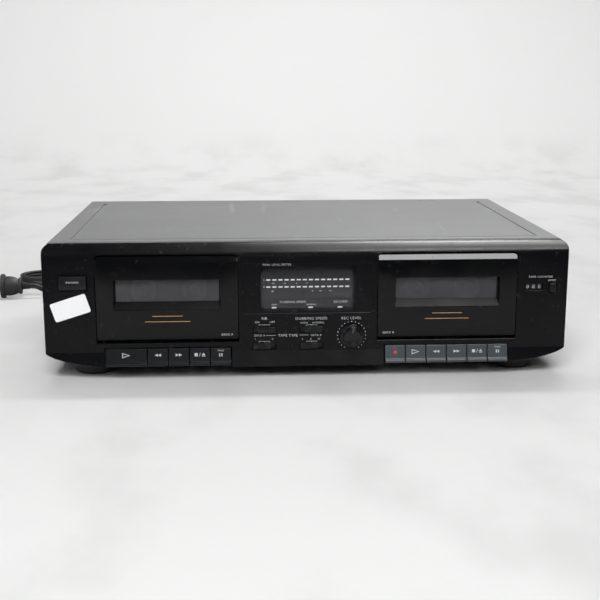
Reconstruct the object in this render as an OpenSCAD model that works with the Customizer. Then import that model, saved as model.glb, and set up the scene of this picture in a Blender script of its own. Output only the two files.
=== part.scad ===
// Double cassette deck: two tape transports behind hinged doors in one low case.
// Millimetres. +Z is up, the front faces -Y, and the origin lies under the middle of the case.

/* [Case] */
// Width of the front panel
case_w = 430; // [428:1:440]
// Height of the case above the surface it stands on
case_h = 113; // [112:0.5:118]
// Depth from the front face to the outside of the rear wall
case_d = 285; // [275:1:310]
// Sheet thickness of the cover and the chassis
sheet = 1; // [0.8:0.1:1.2]
// How far the cover stands in from each end of the front panel
cover_inset = 2; // [1.75:0.25:3]
// Height of the feet
foot_h = 12; // [10:0.5:12.5]
// Diameter of a foot
foot_dia = 36; // [32:1:38]
// Distance of the feet's centres from the ends of the panel
foot_in = 36; // [30:1:50]
// Distance of the feet's centres from the front face and from the rear wall
foot_y = 34.5; // [34:0.5:45]
// Distance of the cover's pressed grooves from the ends of the panel
groove_in = 20; // [15:1:35]
// Distance of the cover's front groove behind the face
groove_y = 30; // [25:1:40]

/* [Fits] */
// Gap between a moving piece and the opening it moves in
move_gap = 0.4; // [0.3:0.05:0.5]
// Gap between pieces that seat on each other
seat_gap = 0.05; // [0.02:0.01:0.1]
// Radial clearance of a shaft in its bearing
run_gap = 0.06; // [0.03:0.01:0.1]

/* [Front panel] */
// Wall of the panel moulding
panel_wall = 2.8; // [2.4:0.1:3.2]
// Depth of the panel moulding behind its face
panel_d = 16; // [14:0.5:18]
// Radius of the roll along the top edge
roll_r = 12; // [9:0.5:13]
// Radius of the top corners, seen from the front
panel_corner = 6.5; // [4:0.5:8]
// Height at which the face folds forward into the lower lip
fold_z = 23.5; // [21:0.5:25]
// How far the lip's edge stands forward of the face
lip_proud = 3; // [2:0.25:4]
// Height of the lip's edge at the middle
lip_z = 10.4; // [9.5:0.1:11.5]
// Rise of the lip's edge towards each end
lip_rise = 11; // [9:0.5:12]
// How late the lip's edge rises, as the power of its curve
lip_bend = 8; // [6:1:9]
// Extra rise that rounds the lower corners
lip_corner = 1.5; // [1:0.25:3]

/* [Doors] */
// Distance of each deck's middle from the middle of the case, as a share of the case's width
deck_share = 0.2675; // [0.264:0.0005:0.272]
// Width of a door
door_w = 115.2; // [112:0.2:116]
// Height of the panel's strip above the doors
door_roof = 9.1; // [8.5:0.1:9.9]
// Height of a door's lower edge
door_z = 31.5; // [31.2:0.1:32]
// Radius of the door's lower edge, rounded about its hinge
hinge_r = 5; // [4.6:0.1:5.4]
// Radius of the door's hinge pins
pin_r = 2; // [1.6:0.1:2.4]
// Thickness of the lugs that carry the hinge pins
lug_t = 4; // [3:0.25:5]
// Thickness of the door's front skin
door_skin = 2.5; // [2:0.1:2.8]
// Depth of the rim round the door
door_rim = 6.5; // [6:0.1:6.9]
// Radius of the door's upper corners
door_corner = 3; // [1.5:0.25:4]
// Radius of the door's lower corners
door_low_corner = 1.2; // [0.6:0.1:2]
// Height of the slope along the door's top edge
slope_h = 5.5; // [4:0.25:6.5]
// Depth of the slope along the door's top edge
slope_d = 3; // [1.5:0.25:4]
// Width of the clear part of a window
window_w = 84; // [76:1:90]
// Height of the clear part of a window
window_h = 18.6; // [16:0.2:20]
// Height of the door above the clear part of a window
window_roof = 20.3; // [19:0.1:21.8]
// Depth of the window pane behind the door's face
window_recess = 5; // [4.5:0.25:5.5]
// Height of the sloped sill under the window
sill_h = 5.8; // [4:0.2:6.4]
// How much wider the window recess is at its mouth, each side
window_flare = 1.5; // [0.5:0.25:2]
// Thickness of the window pane
pane_t = 1.6; // [1.2:0.1:2]

/* [Cassette space] */
// Width that the holder leaves for a cassette
cassette_w = 102; // [101.5:0.1:102.5]
// Depth that the holder leaves for a cassette
cassette_t = 12.5; // [12.2:0.1:13]
// How far the top of the holder lies below the top of the door
holder_drop = 9.9; // [8:0.1:17]
// Sheet thickness of the holder
holder_sheet = 1.2; // [0.8:0.1:1.4]
// Width of the lips behind the cassette's ends
holder_lip = 4; // [3:0.25:5]

/* [Keys] */
// Width of a row of keys
key_row_w = 103; // [101:0.5:105]
// Gap between neighbouring keys
key_gap = 0.8; // [0.6:0.05:1]
// Height of the top edge of the keys
key_top_z = 26.6; // [26:0.1:27.2]
// Height of the lower edge of the keys
key_low_z = 12.4; // [11.5:0.1:13.5]
// How far the top of a key stands forward of the face
key_proud = 1.6; // [1:0.1:2.2]
// How far the finger ridge stands out of the key
ridge_proud = 2; // [1:0.1:2.5]
// Width of the arm behind a key
arm_w = 8; // [6:0.5:10]
// Radius of the rod that the keys turn on
rod_r = 1.5; // [1.2:0.1:1.8]
// Radius of a key's hub on the rod
hub_r = 3.2; // [2.8:0.1:3.4]
// Height of the rod
rod_z = 22; // [21.5:0.1:22.5]

/* [Meter] */
// Width of the meter window, as a share of the field between the doors
meter_share = 0.675; // [0.63:0.005:0.7]
// Height of the panel's strip above the meter window
meter_roof = 19; // [18:0.5:22]
// Height of the meter window's lower edge
meter_z = 57; // [56:0.5:58]
// Width of the shallow surround, as a share of the field between the doors
surround_share = 0.923; // [0.87:0.001:0.94]
// Depth of the shallow surround
surround_d = 0.6; // [0.3:0.1:0.9]
// Bars in each row of the meter
bar_count = 14; // [10:1:16]
// Length of a meter bar, as a share of its pitch
bar_share = 0.68; // [0.5:0.02:0.72]

/* [Controls] */
// Width of a slide switch's slot
slot_w = 19.4; // [18:0.2:20.4]
// Height of a slide switch's slot
slot_h = 5.8; // [5.2:0.1:6.2]
// Travel of a slide switch
switch_travel = 4; // [3:0.1:5]
// How far a switch cap stands forward of the face
switch_proud = 1.4; // [0.8:0.1:2]
// Place of the left switches, as a share of half the field between the doors
switch_left_share = -0.63; // [-0.64:0.005:-0.62]
// Place of the right switches, as a share of half the field between the doors
switch_right_share = 0.05; // [0.035:0.005:0.06]
// Height of the upper switches
switch_upper_z = 40.8; // [40.4:0.1:41.6]
// Height of the lower switches
switch_lower_z = 27.1; // [26.4:0.1:27.4]
// Place of the level knob, as a share of half the field between the doors
level_share = 0.627; // [0.61:0.001:0.64]
// Height of the level knob
level_z = 35.5; // [34.8:0.1:36.2]
// Radius of the level knob's skirt
skirt_r = 10; // [9:0.1:10.4]
// Radius of the level knob's cap
cap_r = 7.5; // [6.5:0.1:8]
// How far the level knob stands forward of the face
knob_proud = 11; // [9:0.5:14]
// Radius of the level knob's shaft
shaft_r = 3; // [2.5:0.1:3.2]
// Place of the power button, as a share of the strip beside a door
power_share = 0.453; // [0.44:0.001:0.48]
// How far the power button lies below the upper transport screws
power_drop = 16.8; // [15:0.1:19]
// Width of the power button
power_w = 21.6; // [18:0.2:22]
// Height of the power button's face
power_h = 11.2; // [9:0.1:12]
// How far the power button stands forward of the face
power_proud = 2.2; // [1:0.1:3]
// How far the tape counter lies inward of the middle of the strip beside a door
counter_shift = 5; // [4:0.1:5.8]
// Width of the counter's window
counter_w = 14.7; // [13.5:0.1:15]
// Height of the counter's window
counter_h = 5.8; // [5:0.1:6.5]
// Radius of a counter wheel
wheel_r = 8; // [7:0.1:8.5]
// Distance of the reset button from the tape counter
reset_step = 15.2; // [14.8:0.1:15.8]
// Width of the reset button
reset_w = 5; // [4:0.1:5.6]
// Height of the reset button's face
reset_h = 7.2; // [6:0.1:8]
// How far the reset button stands forward of the face
reset_proud = 1.6; // [0.8:0.1:2.4]

/* [Transport] */
// Thickness of the transport plate
plate_t = 1.5; // [1.2:0.1:1.8]
// Distance between the two reels of a deck
reel_pitch = 42.5; // [42:0.1:43]
// Radius of a reel's flange
reel_flange_r = 10.5; // [9:0.1:11]
// Radius of a reel's spindle
spindle_r = 4.2; // [3.6:0.1:4.4]
// Place of the capstan beside the deck's middle
capstan_dx = 31; // [30:0.1:32]
// Radius of the capstan
capstan_r = 1.25; // [1:0.05:1.5]
// Radius of the pinch roller
roller_r = 5.5; // [5:0.1:5.8]
// Travel of the head carriage
head_travel = 6; // [5.5:0.1:6.2]
// Radius of a flywheel
flywheel_r = 27; // [25:0.1:27.5]
// Width of a flywheel's rim
flywheel_w = 12; // [10:0.5:14]
// Radius of the motor
motor_r = 17.5; // [15:0.1:18]
// Length of the motor
motor_l = 27; // [22:0.5:30]
// Radius of the motor pulley's running face
pulley_r = 4; // [3.5:0.1:4.2]
// Thickness of the drive belt
belt_t = 1.2; // [1:0.1:1.4]

/* [Rear] */
// Distance of the line jacks' middle from the right end of the panel
jack_in = 85; // [65:1:105]
// Height of the line jacks' middle
jack_z = 60; // [55:1:70]
// Distance between neighbouring jacks
jack_pitch = 16; // [14:0.5:20]
// Radius of a jack's shell
jack_r = 4.15; // [4:0.05:4.3]
// Radius of a jack's contact hole
jack_bore_r = 1.65; // [1.6:0.01:1.8]
// How far the jacks stand out of the rear wall
jack_proud = 9; // [8:0.5:10]

/* [Mains lead] */
// Width of the flat lead
cord_w = 5.6; // [5.6:0.1:5.8]
// Thickness of the flat lead
cord_t = 2.8; // [2.6:0.1:2.8]

/* [Hidden] */
$fn = 64;

// Cutting shapes pass the faces that they open by this much
cut = 1;
// Length of the lead's strain relief behind the rear wall
relief_l = 26;
// The front face lies here, so that the box from the knob to the strain relief is centred
face_y = knob_proud - (knob_proud + case_d + relief_l) / 2;
deck_x = deck_share * case_w;
deck_a = -deck_x;
deck_b = deck_x;

// Case
foot_x = case_w / 2 - foot_in;
groove_x = case_w / 2 - groove_in;
cover_half = case_w / 2 - cover_inset;
cover_top = case_h - 0.4;
cover_y0 = panel_d + 0.3;
cover_corner = 2;
groove_w = 2.2;
groove_depth = 0.6;
groove_back = case_d - 25;
groove_hole_r = 2.2;
cover_slot_w = 18;
cover_slot_d = 2.4;
cover_slot_y = case_d - 7;
cover_slot_x = [-case_w / 3, 0, case_w / 3];
chassis_half = cover_half - sheet - 0.15;
floor_z = foot_h + sheet;
flange_h = 22;
screw_r = 1.5;
screw_hole_r = screw_r + run_gap;
screw_head_r = 3.2;
screw_head_h = 1.6;
cover_screw_rise = 12;
cover_screw_z = foot_h + cover_screw_rise;
cover_screw_front = 70;
cover_screw_back = 60;
cover_screw_y = [cover_screw_front, case_d - cover_screw_back];
foot_spots = [for (x = [-foot_x, foot_x], y = [foot_y, case_d - foot_y]) [x, y]];
foot_recess_r = 4.6;
foot_edge_r = 3;
foot_recess_h = foot_h / 2;

// Front panel
lip_steps = 24;
boss_r = 4;
small_boss_r = 2.2;
boss_root = panel_wall - 0.5;

// Doors and the space behind them
door_top = case_h - door_roof;
door_h = door_top - door_z;
hinge_z = door_z + hinge_r;
opening_half = door_w / 2 + move_gap;
window_top = door_top - window_roof;
window_z = window_top - window_h;
pane_lap = 2;
pane_room = 0.15;
pane_back = window_recess + pane_t + 0.4;
holder_y0 = pane_back + seat_gap;
cassette_y0 = 2 * hinge_r + 0.6;
cassette_y1 = cassette_y0 + cassette_t;
cassette_z = hinge_z + 0.5;
holder_half = cassette_w / 2;
holder_low = hinge_z + hinge_r + 1.5;
holder_back = cassette_y1 + holder_sheet;
holder_top = door_top - holder_drop;
ledge_w = 5;
rim_t = 2;

// Transport, placed from the cassette's standard layout
plate_y = holder_back + 1.3;
plate_back = plate_y + plate_t;
reel_z = cassette_z + 34;
capstan_z = cassette_z + 7.5;
bearing_r = 4;
spindle_y = cassette_y0 + 4;
stub_r = 2.5;
boss_x = opening_half + boss_r + 0.3;
boss_low_z = capstan_z + 5.5;
boss_high_z = door_top - 5;
boss_spots = [for (side = [-1, 1], z = [boss_low_z, boss_high_z]) [side * boss_x, z]];
plate_ear = 3.4;
plate_half = key_row_w / 2 + 5.5;
plate_wide_z = capstan_z - 6;
plate_top = door_top;
rod_y = plate_y - hub_r + 1.6;
plate_low = rod_z + hub_r + 3;
ear_in = key_row_w / 2 + 3;
ear_out = ear_in + 1.4;
carriage_t = 1.2;
carriage_y1 = plate_y - move_gap;
carriage_y0 = carriage_y1 - carriage_t;
carriage_low = rod_z + hub_r + 0.8;
guide_r = 1.5;
guide_z = carriage_low + 1.2 + guide_r + head_travel;
carriage_top = guide_z + guide_r + 1.4;
carriage_arm_top = capstan_z - bearing_r - head_travel - move_gap;
carriage_left = -42;
carriage_step = 22;
carriage_right = 44;
guide_x = [-30, 14];
roller_z = capstan_z - capstan_r - roller_r - head_travel - 0.3;
roller_pin_r = 1.2;
roller_y0 = spindle_y - 0.8;
roller_w = 8;
flywheel_y0 = plate_back + 3;
flywheel_y1 = flywheel_y0 + flywheel_w;
strap_y0 = flywheel_y1 + 3.5;
strap_t = 1.5;
strap_h = 12;
strap_post_x = flywheel_r + belt_t + 4.8;
post_r = 2.5;
belt_w = 3;
belt_y0 = (flywheel_y0 + flywheel_y1 - belt_w) / 2;
belt_gap = 0.3;
motor_dx = -30;
motor_z = door_top - 15.9;
motor_plate_y0 = flywheel_y1;
motor_plate_r = 20;
motor_posts = [[-20, 12], [20, 12], [0, -24]];
motor_y0 = motor_plate_y0 + plate_t + seat_gap;
pulley_shaft_r = 1;
pulley_flange_r = pulley_r + 1.2;

// Keys: each row is six equal steps wide
key_step = key_row_w / 6;
ridge_z = key_low_z + 2.4;
nose_l = 5;

// Meter, controls and counter, in the field between the doors and in the strips beside them
field_half = deck_x - door_w / 2;
strip_x0 = deck_x + door_w / 2;
strip_x1 = case_w / 2 - panel_wall;
meter_w = 2 * meter_share * field_half;
meter_h = case_h - meter_roof - meter_z;
surround_w = 2 * surround_share * field_half;
switch_left_x = switch_left_share * field_half;
switch_right_x = switch_right_share * field_half;
level_x = level_share * field_half;
power_x = -strip_x0 - power_share * (strip_x1 - strip_x0);
power_z = boss_high_z - power_drop;
counter_x = (strip_x0 + strip_x1) / 2 - counter_shift;
counter_z = (boss_low_z + boss_high_z) / 2;
reset_x = counter_x + reset_step;
meter_spot_z = meter_z + meter_h / 2;
lens_t = 2;
lens_room = 0.15;
lens_lap = 2;
display_y0 = panel_wall + 3;
display_board_y = display_y0 + 3.4;
display_boss_x = meter_w / 2 + 5.5;
display_low = meter_z - 1.6;
bar_pitch = meter_w / (bar_count + 1.5);
bar_w = bar_share * bar_pitch;
bar_h = 1.3;
bar_proud = 0.5;
bar_rows = [0.67, 0.51];
lamp_shares = [-0.717, 0.059, 0.69];
lamp_w = 4;
lamp_h = 1.4;
lamp_z = meter_z + 1.5;
board_t = 1.6;
board_room = 11.2;
board_y = panel_wall + board_room;
board_half = 0.8 * field_half;
board_below = 7.6;
board_above = 9.2;
board_low = switch_lower_z - board_below;
board_top = switch_upper_z + board_above;
housing_w = 20;
housing_h = 7.2;
housing_d = 7;
housing_y0 = board_y - housing_d;
housing_slot_d = 3.5;
housing_slot_h = 3;
cap_w = slot_w - switch_travel - 2 * move_gap;
switch_flange_y = panel_wall + 0.3;
switch_flange_t = 1;
switch_stem_w = 4;
switch_stem_h = 2.2;
rib_count = 4;
rib_pitch = 1.7;
bushing_r = shaft_r + 1.5;
pot_r = 8.5;
pot_room = 2.2;
pot_y0 = panel_wall + pot_room;
shaft_end = board_y - 4;
board_boss_in = 4;
between_switches_z = (switch_upper_z + switch_lower_z) / 2;
between_switches_x = (switch_left_x + switch_right_x) / 2;
beside_knob_x = (switch_right_x + housing_w / 2 + level_x - pot_r) / 2;
board_bosses = [
    [switch_left_x - housing_w / 3, between_switches_z],
    [between_switches_x, between_switches_z],
    [beside_knob_x, board_low + board_boss_in],
    [beside_knob_x, board_top - board_boss_in]
];
skirt_t = 3.4;
skirt_gap = 0.6;
power_recess = 0.8;
switch_boss_dz = power_h / 2 + 5.4;
switch_boss_y = panel_wall + 9.2;
stem_w = 5;
retainer_lap = 1;
retainer_t = 1.2;
wheel_count = 3;
wheel_pitch = counter_w / wheel_count;
wheel_w = wheel_pitch - 0.45;
axle_r = 1.5;
axle_y = panel_wall + 0.7 + wheel_r;
frame_sheet = 1.2;
counter_back = axle_y + wheel_r + 0.6;
counter_boss_dz = wheel_r + 4.4;
counter_plate_dz = counter_boss_dz + small_boss_r;
power_switch_w = 9;
power_switch_h = 15;
power_switch_l = 24;

// Circuit boards, mains supply and jacks
standoff_h = 7;
standoff_r = 3;
main_board_low = floor_z + standoff_h;
main_board_x = [-0.093 * case_w, 0.209 * case_w];
main_board_y = [0.42 * case_d, 0.825 * case_d];
main_board_edge = 8;
// Share of the board's width, share of its depth, and size beside the first
can_spots = [
    [0.19, 0.21, 1], [0.33, 0.25, 0.8], [0.47, 0.2, 0.8], [0.8, 0.29, 1.3], [0.8, 0.48, 1.3],
    [0.23, 0.6, 0.7]
];
can_r = 6;
can_h = 15.6;
chip_spots = [[0.53, 0.56], [0.66, 0.56], [0.53, 0.75], [0.66, 0.75]];
chip_w = 10;
chip_l = 18;
chip_h = 4;
supply_in = 95;
supply_back = 80;
supply_x = supply_in - case_w / 2;
supply_y = case_d - supply_back;
core_w = 57;
core_t = 24;
core_h = 48;
jack_x = case_w / 2 - jack_in;
jack_block_t = 10;
jack_bore_l = 8;
jack_hole_r = jack_r + 0.6;
jack_spots = [for (x = [-0.5, 0.5], z = [-0.5, 0.5]) [jack_x + x * jack_pitch, jack_z + z * jack_pitch]];

// Mains lead: its way out, then its route, hank and plug in a frame under the end of the strain relief
cord_in = 65;
cord_x = cord_in - case_w / 2;
cord_z = 34;
relief_r0 = 5;
relief_r1 = 3.7;
gland_r = 6;
hank_loops = 4;
hank_mid = [-100, 91];
hank_run = 84;
hank_inner_r = 17.5;
hank_step = 3.6;
hank_layer = 6.2;
hank_waist = 9;
hank_z = 4;
hank_rings = 24;
hank_stub = [3, 0, 0];
hank_outer_r = hank_inner_r + hank_step * hank_loops / 2;
run_points = [
    [0, 0, 34], [0, 7, 34], [0, 16, 32.5], [-0.5, 26, 28], [-2.5, 36, 21.5], [-6.5, 45, 14.5],
    [-13, 53, 9], [-21.5, 59.5, 5.6], [-31, 63.8, 4.2], [-41, 65.9, 4], [-48, 66.3, 4], [-55, 66.3, 4]
];
lead_points = [
    [-61, 66.3, 10.2], [-67, 66.3, 10.2], [-75.5, 65.2, 9.8], [-84, 61.9, 8.8], [-91.5, 56.6, 7.4],
    [-97.5, 49.6, 6.2], [-101.5, 41.7, 5.4], [-105.5, 33.7, 5.4], [-111.5, 26.7, 6], [-119, 21.4, 7.2],
    [-127.5, 18.1, 9.6], [-134, 17, 12.9], [-140.5, 17, 13.6]
];
plug_end = lead_points[len(lead_points) - 1];
collar_l = 9;
flange_l = 27;
face_l = 31.5;
flange_tall = 27;
pin_pitch = 12.7;
pin_w = 6.4;
pin_t = 1.5;
pin_l = 17;
tie_t = 0.8;
tie_w = 6;
tie_room = 0.3;

// Places a piece that is drawn with the front face at y = 0
module at_face() { translate([0, face_y, 0]) children(); }

// Places a piece of the mains lead
module at_lead() { translate([cord_x, face_y + case_d + relief_l, 0]) children(); }

// A box given by its spans along x, y and z
module box(x, y, z) { translate([x[0], y[0], z[0]]) cube([x[1] - x[0], y[1] - y[0], z[1] - z[0]]); }

// A front view, drawn as [x, z], made solid from y0 to y1
module front_slab(y0, y1) { translate([0, y1, 0]) rotate([90, 0, 0]) linear_extrude(y1 - y0) children(); }

// A side view, drawn as [y, z], made solid from x0 to x1
module side_bar(x0, x1) { translate([x0, 0, 0]) rotate([90, 0, 90]) linear_extrude(x1 - x0) children(); }

// Round bars along each axis
module bar_y(x, z, r, y0, y1) { translate([x, y0, z]) rotate([-90, 0, 0]) cylinder(r = r, h = y1 - y0); }
module bar_x(y, z, r, x0, x1) { translate([x0, y, z]) rotate([0, 90, 0]) cylinder(r = r, h = x1 - x0); }
module bar_z(x, y, r, z0, z1) { translate([x, y, z0]) cylinder(r = r, h = z1 - z0); }

// A profile drawn as [radius, y], turned about an axis along y
module turned(x, z) { translate([x, 0, z]) rotate([-90, 0, 0]) rotate_extrude() children(); }

// A centred rectangle with round corners
module round_rect(w, h, r) {
    square([w - 2 * r, h], center = true);
    square([w, h - 2 * r], center = true);
    for (sx = [-1, 1], sz = [-1, 1]) translate([sx * (w / 2 - r), sz * (h / 2 - r)]) circle(r);
}

// Front panel

// Height of the panel's lower edge: flat in the middle, sweeping up to round corners
function lip_edge(x) =
    let (u = abs(x) / (case_w / 2))
    lip_z + lip_rise * pow(u, lip_bend) + lip_corner * pow(u, 60);

module panel_profile(inset) {
    back = inset > 0 ? panel_d + cut : panel_d;
    low = lip_z + inset;
    roll_z = case_h - roll_r;
    polygon([
        [inset - lip_proud, low], [inset, fold_z], [inset, roll_z], [roll_r, roll_z],
        [roll_r, case_h - inset], [back, case_h - inset], [back, low]
    ]);
    translate([roll_r, roll_z]) intersection() {
        circle(roll_r - inset);
        translate([-roll_r, 0]) square(roll_r);
    }
}

module panel_outline(inset) {
    half = case_w / 2 - inset;
    shoulder = case_h - panel_corner;
    corner = panel_corner - inset;
    edge = [for (i = [0:lip_steps]) let (x = -half * cos(180 * i / lip_steps)) [x, lip_edge(x) + inset]];
    polygon(concat(edge, [[half, shoulder], [-half, shoulder]]));
    translate([corner - half, shoulder - cut])
        square([2 * (half - corner), case_h - inset - shoulder + cut]);
    for (side = [-1, 1]) translate([side * (half - corner), shoulder]) circle(corner);
}

module panel_block(inset) {
    intersection() {
        side_bar(inset - case_w / 2, case_w / 2 - inset) panel_profile(inset);
        front_slab(-lip_proud - cut, panel_d + 2 * cut) panel_outline(inset);
    }
}

// A boss behind the panel, drilled from its free end
module boss(x, z, r, end, hole_r, hole_d) {
    difference() {
        bar_y(x, z, r, boss_root, end);
        bar_y(x, z, hole_r, end - hole_d, end + cut);
    }
}

module panel_bosses() {
    for (deck = [deck_a, deck_b], spot = boss_spots) {
        boss(deck + spot[0], spot[1], boss_r, plate_y, screw_hole_r, 12);
    }
    for (spot = board_bosses) boss(spot[0], spot[1], small_boss_r, board_y - seat_gap, 1, 5);
    for (sx = [-1, 1], sz = [-1, 1]) {
        z = meter_spot_z + sz * meter_h / 2;
        boss(sx * display_boss_x, z, small_boss_r, display_board_y - seat_gap, 1, 4);
    }
    for (sz = [-1, 1]) {
        boss(counter_x, counter_z + sz * counter_boss_dz, small_boss_r, counter_back - seat_gap, 1, 8);
        boss(power_x, power_z + sz * switch_boss_dz, small_boss_r, switch_boss_y - seat_gap, 1, 5);
    }
}

module hinge_lugs() {
    for (deck = [deck_a, deck_b], side = [-1, 1]) {
        x = deck + side * (opening_half + lug_t / 2);
        difference() {
            box([x - lug_t / 2, x + lug_t / 2], [boss_root, 2 * hinge_r + 1], [hinge_z - 6, hinge_z + 6]);
            bar_x(hinge_r, hinge_z, pin_r + run_gap, x - lug_t, x + lug_t);
        }
    }
}

// An opening through the panel's face, given by its middle and its size
module face_opening(x, z, w, h, r) {
    front_slab(-lip_proud - cut, panel_wall + 2 * cut) translate([x, z]) round_rect(w, h, r);
}

// A shallow step in the panel's face
module face_step(x, z, w, h, r, depth) {
    front_slab(-cut, depth) translate([x, z]) round_rect(w, h, r);
}

module panel_openings() {
    for (deck = [deck_a, deck_b]) {
        face_opening(
            deck, door_z + door_h / 2, door_w + 2 * move_gap, door_h + 2 * move_gap, door_corner + move_gap
        );
        box(
            [deck - opening_half, deck + opening_half], [-cut, panel_wall + 2 * cut],
            [door_z - move_gap, hinge_z]
        );
        box(
            [deck - key_row_w / 2 - move_gap, deck + key_row_w / 2 + move_gap],
            [-lip_proud - cut, panel_d + cut], [lip_z - cut, key_top_z + move_gap]
        );
    }
    face_opening(0, meter_spot_z, meter_w, meter_h, 0.8);
    face_step(0, meter_spot_z, surround_w, meter_h + 4.5, 1.5, surround_d);
    for (x = [switch_left_x, switch_right_x], z = [switch_upper_z, switch_lower_z]) {
        face_opening(x, z, slot_w, slot_h, 0.6);
    }
    bar_y(level_x, level_z, bushing_r + 0.3, -cut, panel_wall + cut);
    face_opening(counter_x, counter_z, counter_w, counter_h, 0.5);
    face_opening(reset_x, counter_z - 0.4, reset_w + 2 * move_gap, reset_h + 2 * move_gap, 0.5);
    face_step(reset_x - 0.8, counter_z - 0.4, reset_w + 3.6, reset_h + 2.2, 0.8, surround_d);
    face_opening(power_x, power_z, power_w + 2 * move_gap, power_h + 2 * move_gap, 0.8);
    face_step(power_x, power_z + 0.7, power_w + 1.8, power_h + 3, 1, power_recess);
}

module front_panel() {
    color("#1c1c20") at_face() difference() {
        union() {
            difference() {
                panel_block(0);
                panel_block(panel_wall);
            }
            panel_bosses();
            hinge_lugs();
        }
        panel_openings();
    }
}

// Case shells

module cover_outline(inset) {
    half = cover_half - inset;
    top = cover_top - inset;
    corner = cover_corner - inset;
    low = inset > 0 ? foot_h - cut : foot_h + 0.5;
    translate([-half, low]) square([2 * half, top - corner - low]);
    translate([corner - half, low]) square([2 * (half - corner), top - low]);
    for (side = [-1, 1]) translate([side * (half - corner), top - corner]) circle(corner);
}

module top_cover() {
    deep = [cover_top - groove_depth, cover_top + cut];
    through = [cover_top - sheet - cut, cover_top + cut];
    slot_y = [cover_slot_y - cover_slot_d / 2, cover_slot_y + cover_slot_d / 2];
    color("#4a4c50") at_face() difference() {
        front_slab(cover_y0, case_d) difference() {
            cover_outline(0);
            cover_outline(sheet);
        }
        for (side = [-1, 1]) {
            x = side * groove_x;
            box([x - groove_w / 2, x + groove_w / 2], [groove_y, groove_back], deep);
            bar_z(x, groove_back, groove_hole_r, through[0], through[1]);
            wall = side * cover_half;
            for (y = cover_screw_y) {
                bar_x(y, cover_screw_z, screw_r + 0.2, wall - 2 * sheet, wall + 2 * sheet);
            }
        }
        box([-groove_x, groove_x], [groove_y - groove_w / 2, groove_y + groove_w / 2], deep);
        for (x = cover_slot_x) box([x - cover_slot_w / 2, x + cover_slot_w / 2], slot_y, through);
    }
}

module base_chassis() {
    wall_top = cover_top - sheet - 0.2;
    color("#8d9094") at_face() difference() {
        union() {
            box([-chassis_half, chassis_half], [cover_y0, case_d], [foot_h, floor_z]);
            box([-chassis_half, chassis_half], [case_d - sheet, case_d], [foot_h, wall_top]);
            for (side = [-1, 1]) {
                x = side * (chassis_half - sheet / 2);
                box([x - sheet / 2, x + sheet / 2], [cover_y0, case_d], [foot_h, foot_h + flange_h]);
            }
            for (x = main_board_x, y = main_board_y) {
                bar_z(x, y, standoff_r, floor_z - sheet / 2, main_board_low - seat_gap);
            }
        }
        for (spot = foot_spots) bar_z(spot[0], spot[1], screw_hole_r, foot_h - cut, floor_z + cut);
        for (spot = jack_spots) bar_y(spot[0], spot[1], jack_hole_r, case_d - sheet - cut, case_d + cut);
        bar_y(cord_x, cord_z, gland_r + seat_gap, case_d - sheet - cut, case_d + cut);
        for (side = [-1, 1], y = cover_screw_y) {
            x = side * chassis_half;
            bar_x(y, cover_screw_z, screw_hole_r, x - 2 * sheet, x + 2 * sheet);
        }
    }
}

module feet() {
    r = foot_dia / 2;
    edge = [for (a = [0:30:90]) [r - foot_edge_r * (1 - sin(a)), foot_edge_r * (1 - cos(a))]];
    inside = [
        [r, foot_h], [screw_r + 0.2, foot_h], [screw_r + 0.2, foot_recess_h],
        [foot_recess_r, foot_recess_h], [foot_recess_r, 0]
    ];
    color("#18181a") at_face() for (spot = foot_spots) translate(spot) rotate_extrude()
        polygon(concat(edge, inside));
}

// A screw whose head stands up from its seat and whose shank goes down
module pan_screw(shank) {
    cylinder(r1 = screw_head_r, r2 = screw_head_r - 0.8, h = screw_head_h);
    translate([0, 0, -shank]) cylinder(r = screw_r, h = shank + screw_head_h / 2);
}

// Two screws on each side of the cover, one in each foot, four on each transport
module case_screws() {
    head_z = foot_recess_h - seat_gap;
    color("#2a2a2c") at_face() {
        for (side = [-1, 1], y = cover_screw_y) {
            translate([side * (cover_half + seat_gap), y, cover_screw_z])
                rotate([0, side * 90, 0]) pan_screw(5);
        }
        for (spot = foot_spots) {
            translate([spot[0], spot[1], head_z]) rotate([180, 0, 0]) pan_screw(foot_h - head_z + 5);
        }
        for (deck = [deck_a, deck_b], spot = boss_spots) {
            translate([deck + spot[0], plate_back + seat_gap, spot[1]])
                rotate([-90, 0, 0]) pan_screw(plate_t + 8);
        }
    }
}

// Doors

module door_profile() {
    polygon([
        [0, hinge_z], [0, door_top - slope_h], [slope_d, door_top], [door_rim, door_top], [door_rim, hinge_z]
    ]);
    translate([hinge_r, hinge_z]) circle(hinge_r);
}

// The window's recess: a sloped sill below, and flared ends
module window_recess_cut() {
    half = window_w / 2;
    fall = sill_h / window_recess;
    flare = window_flare / window_recess;
    end = window_recess + seat_gap;
    intersection() {
        side_bar(-half - 2 * window_flare - cut, half + 2 * window_flare + cut) polygon([
            [-cut, window_z - sill_h - cut * fall], [window_recess, window_z], [end, window_z],
            [end, window_top], [-cut, window_top]
        ]);
        translate([0, 0, window_z - 2 * sill_h]) linear_extrude(window_h + 3 * sill_h) polygon([
            [-half - window_flare - cut * flare, -cut], [half + window_flare + cut * flare, -cut],
            [half, window_recess], [half, end], [-half, end], [-half, window_recess]
        ]);
    }
}

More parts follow.
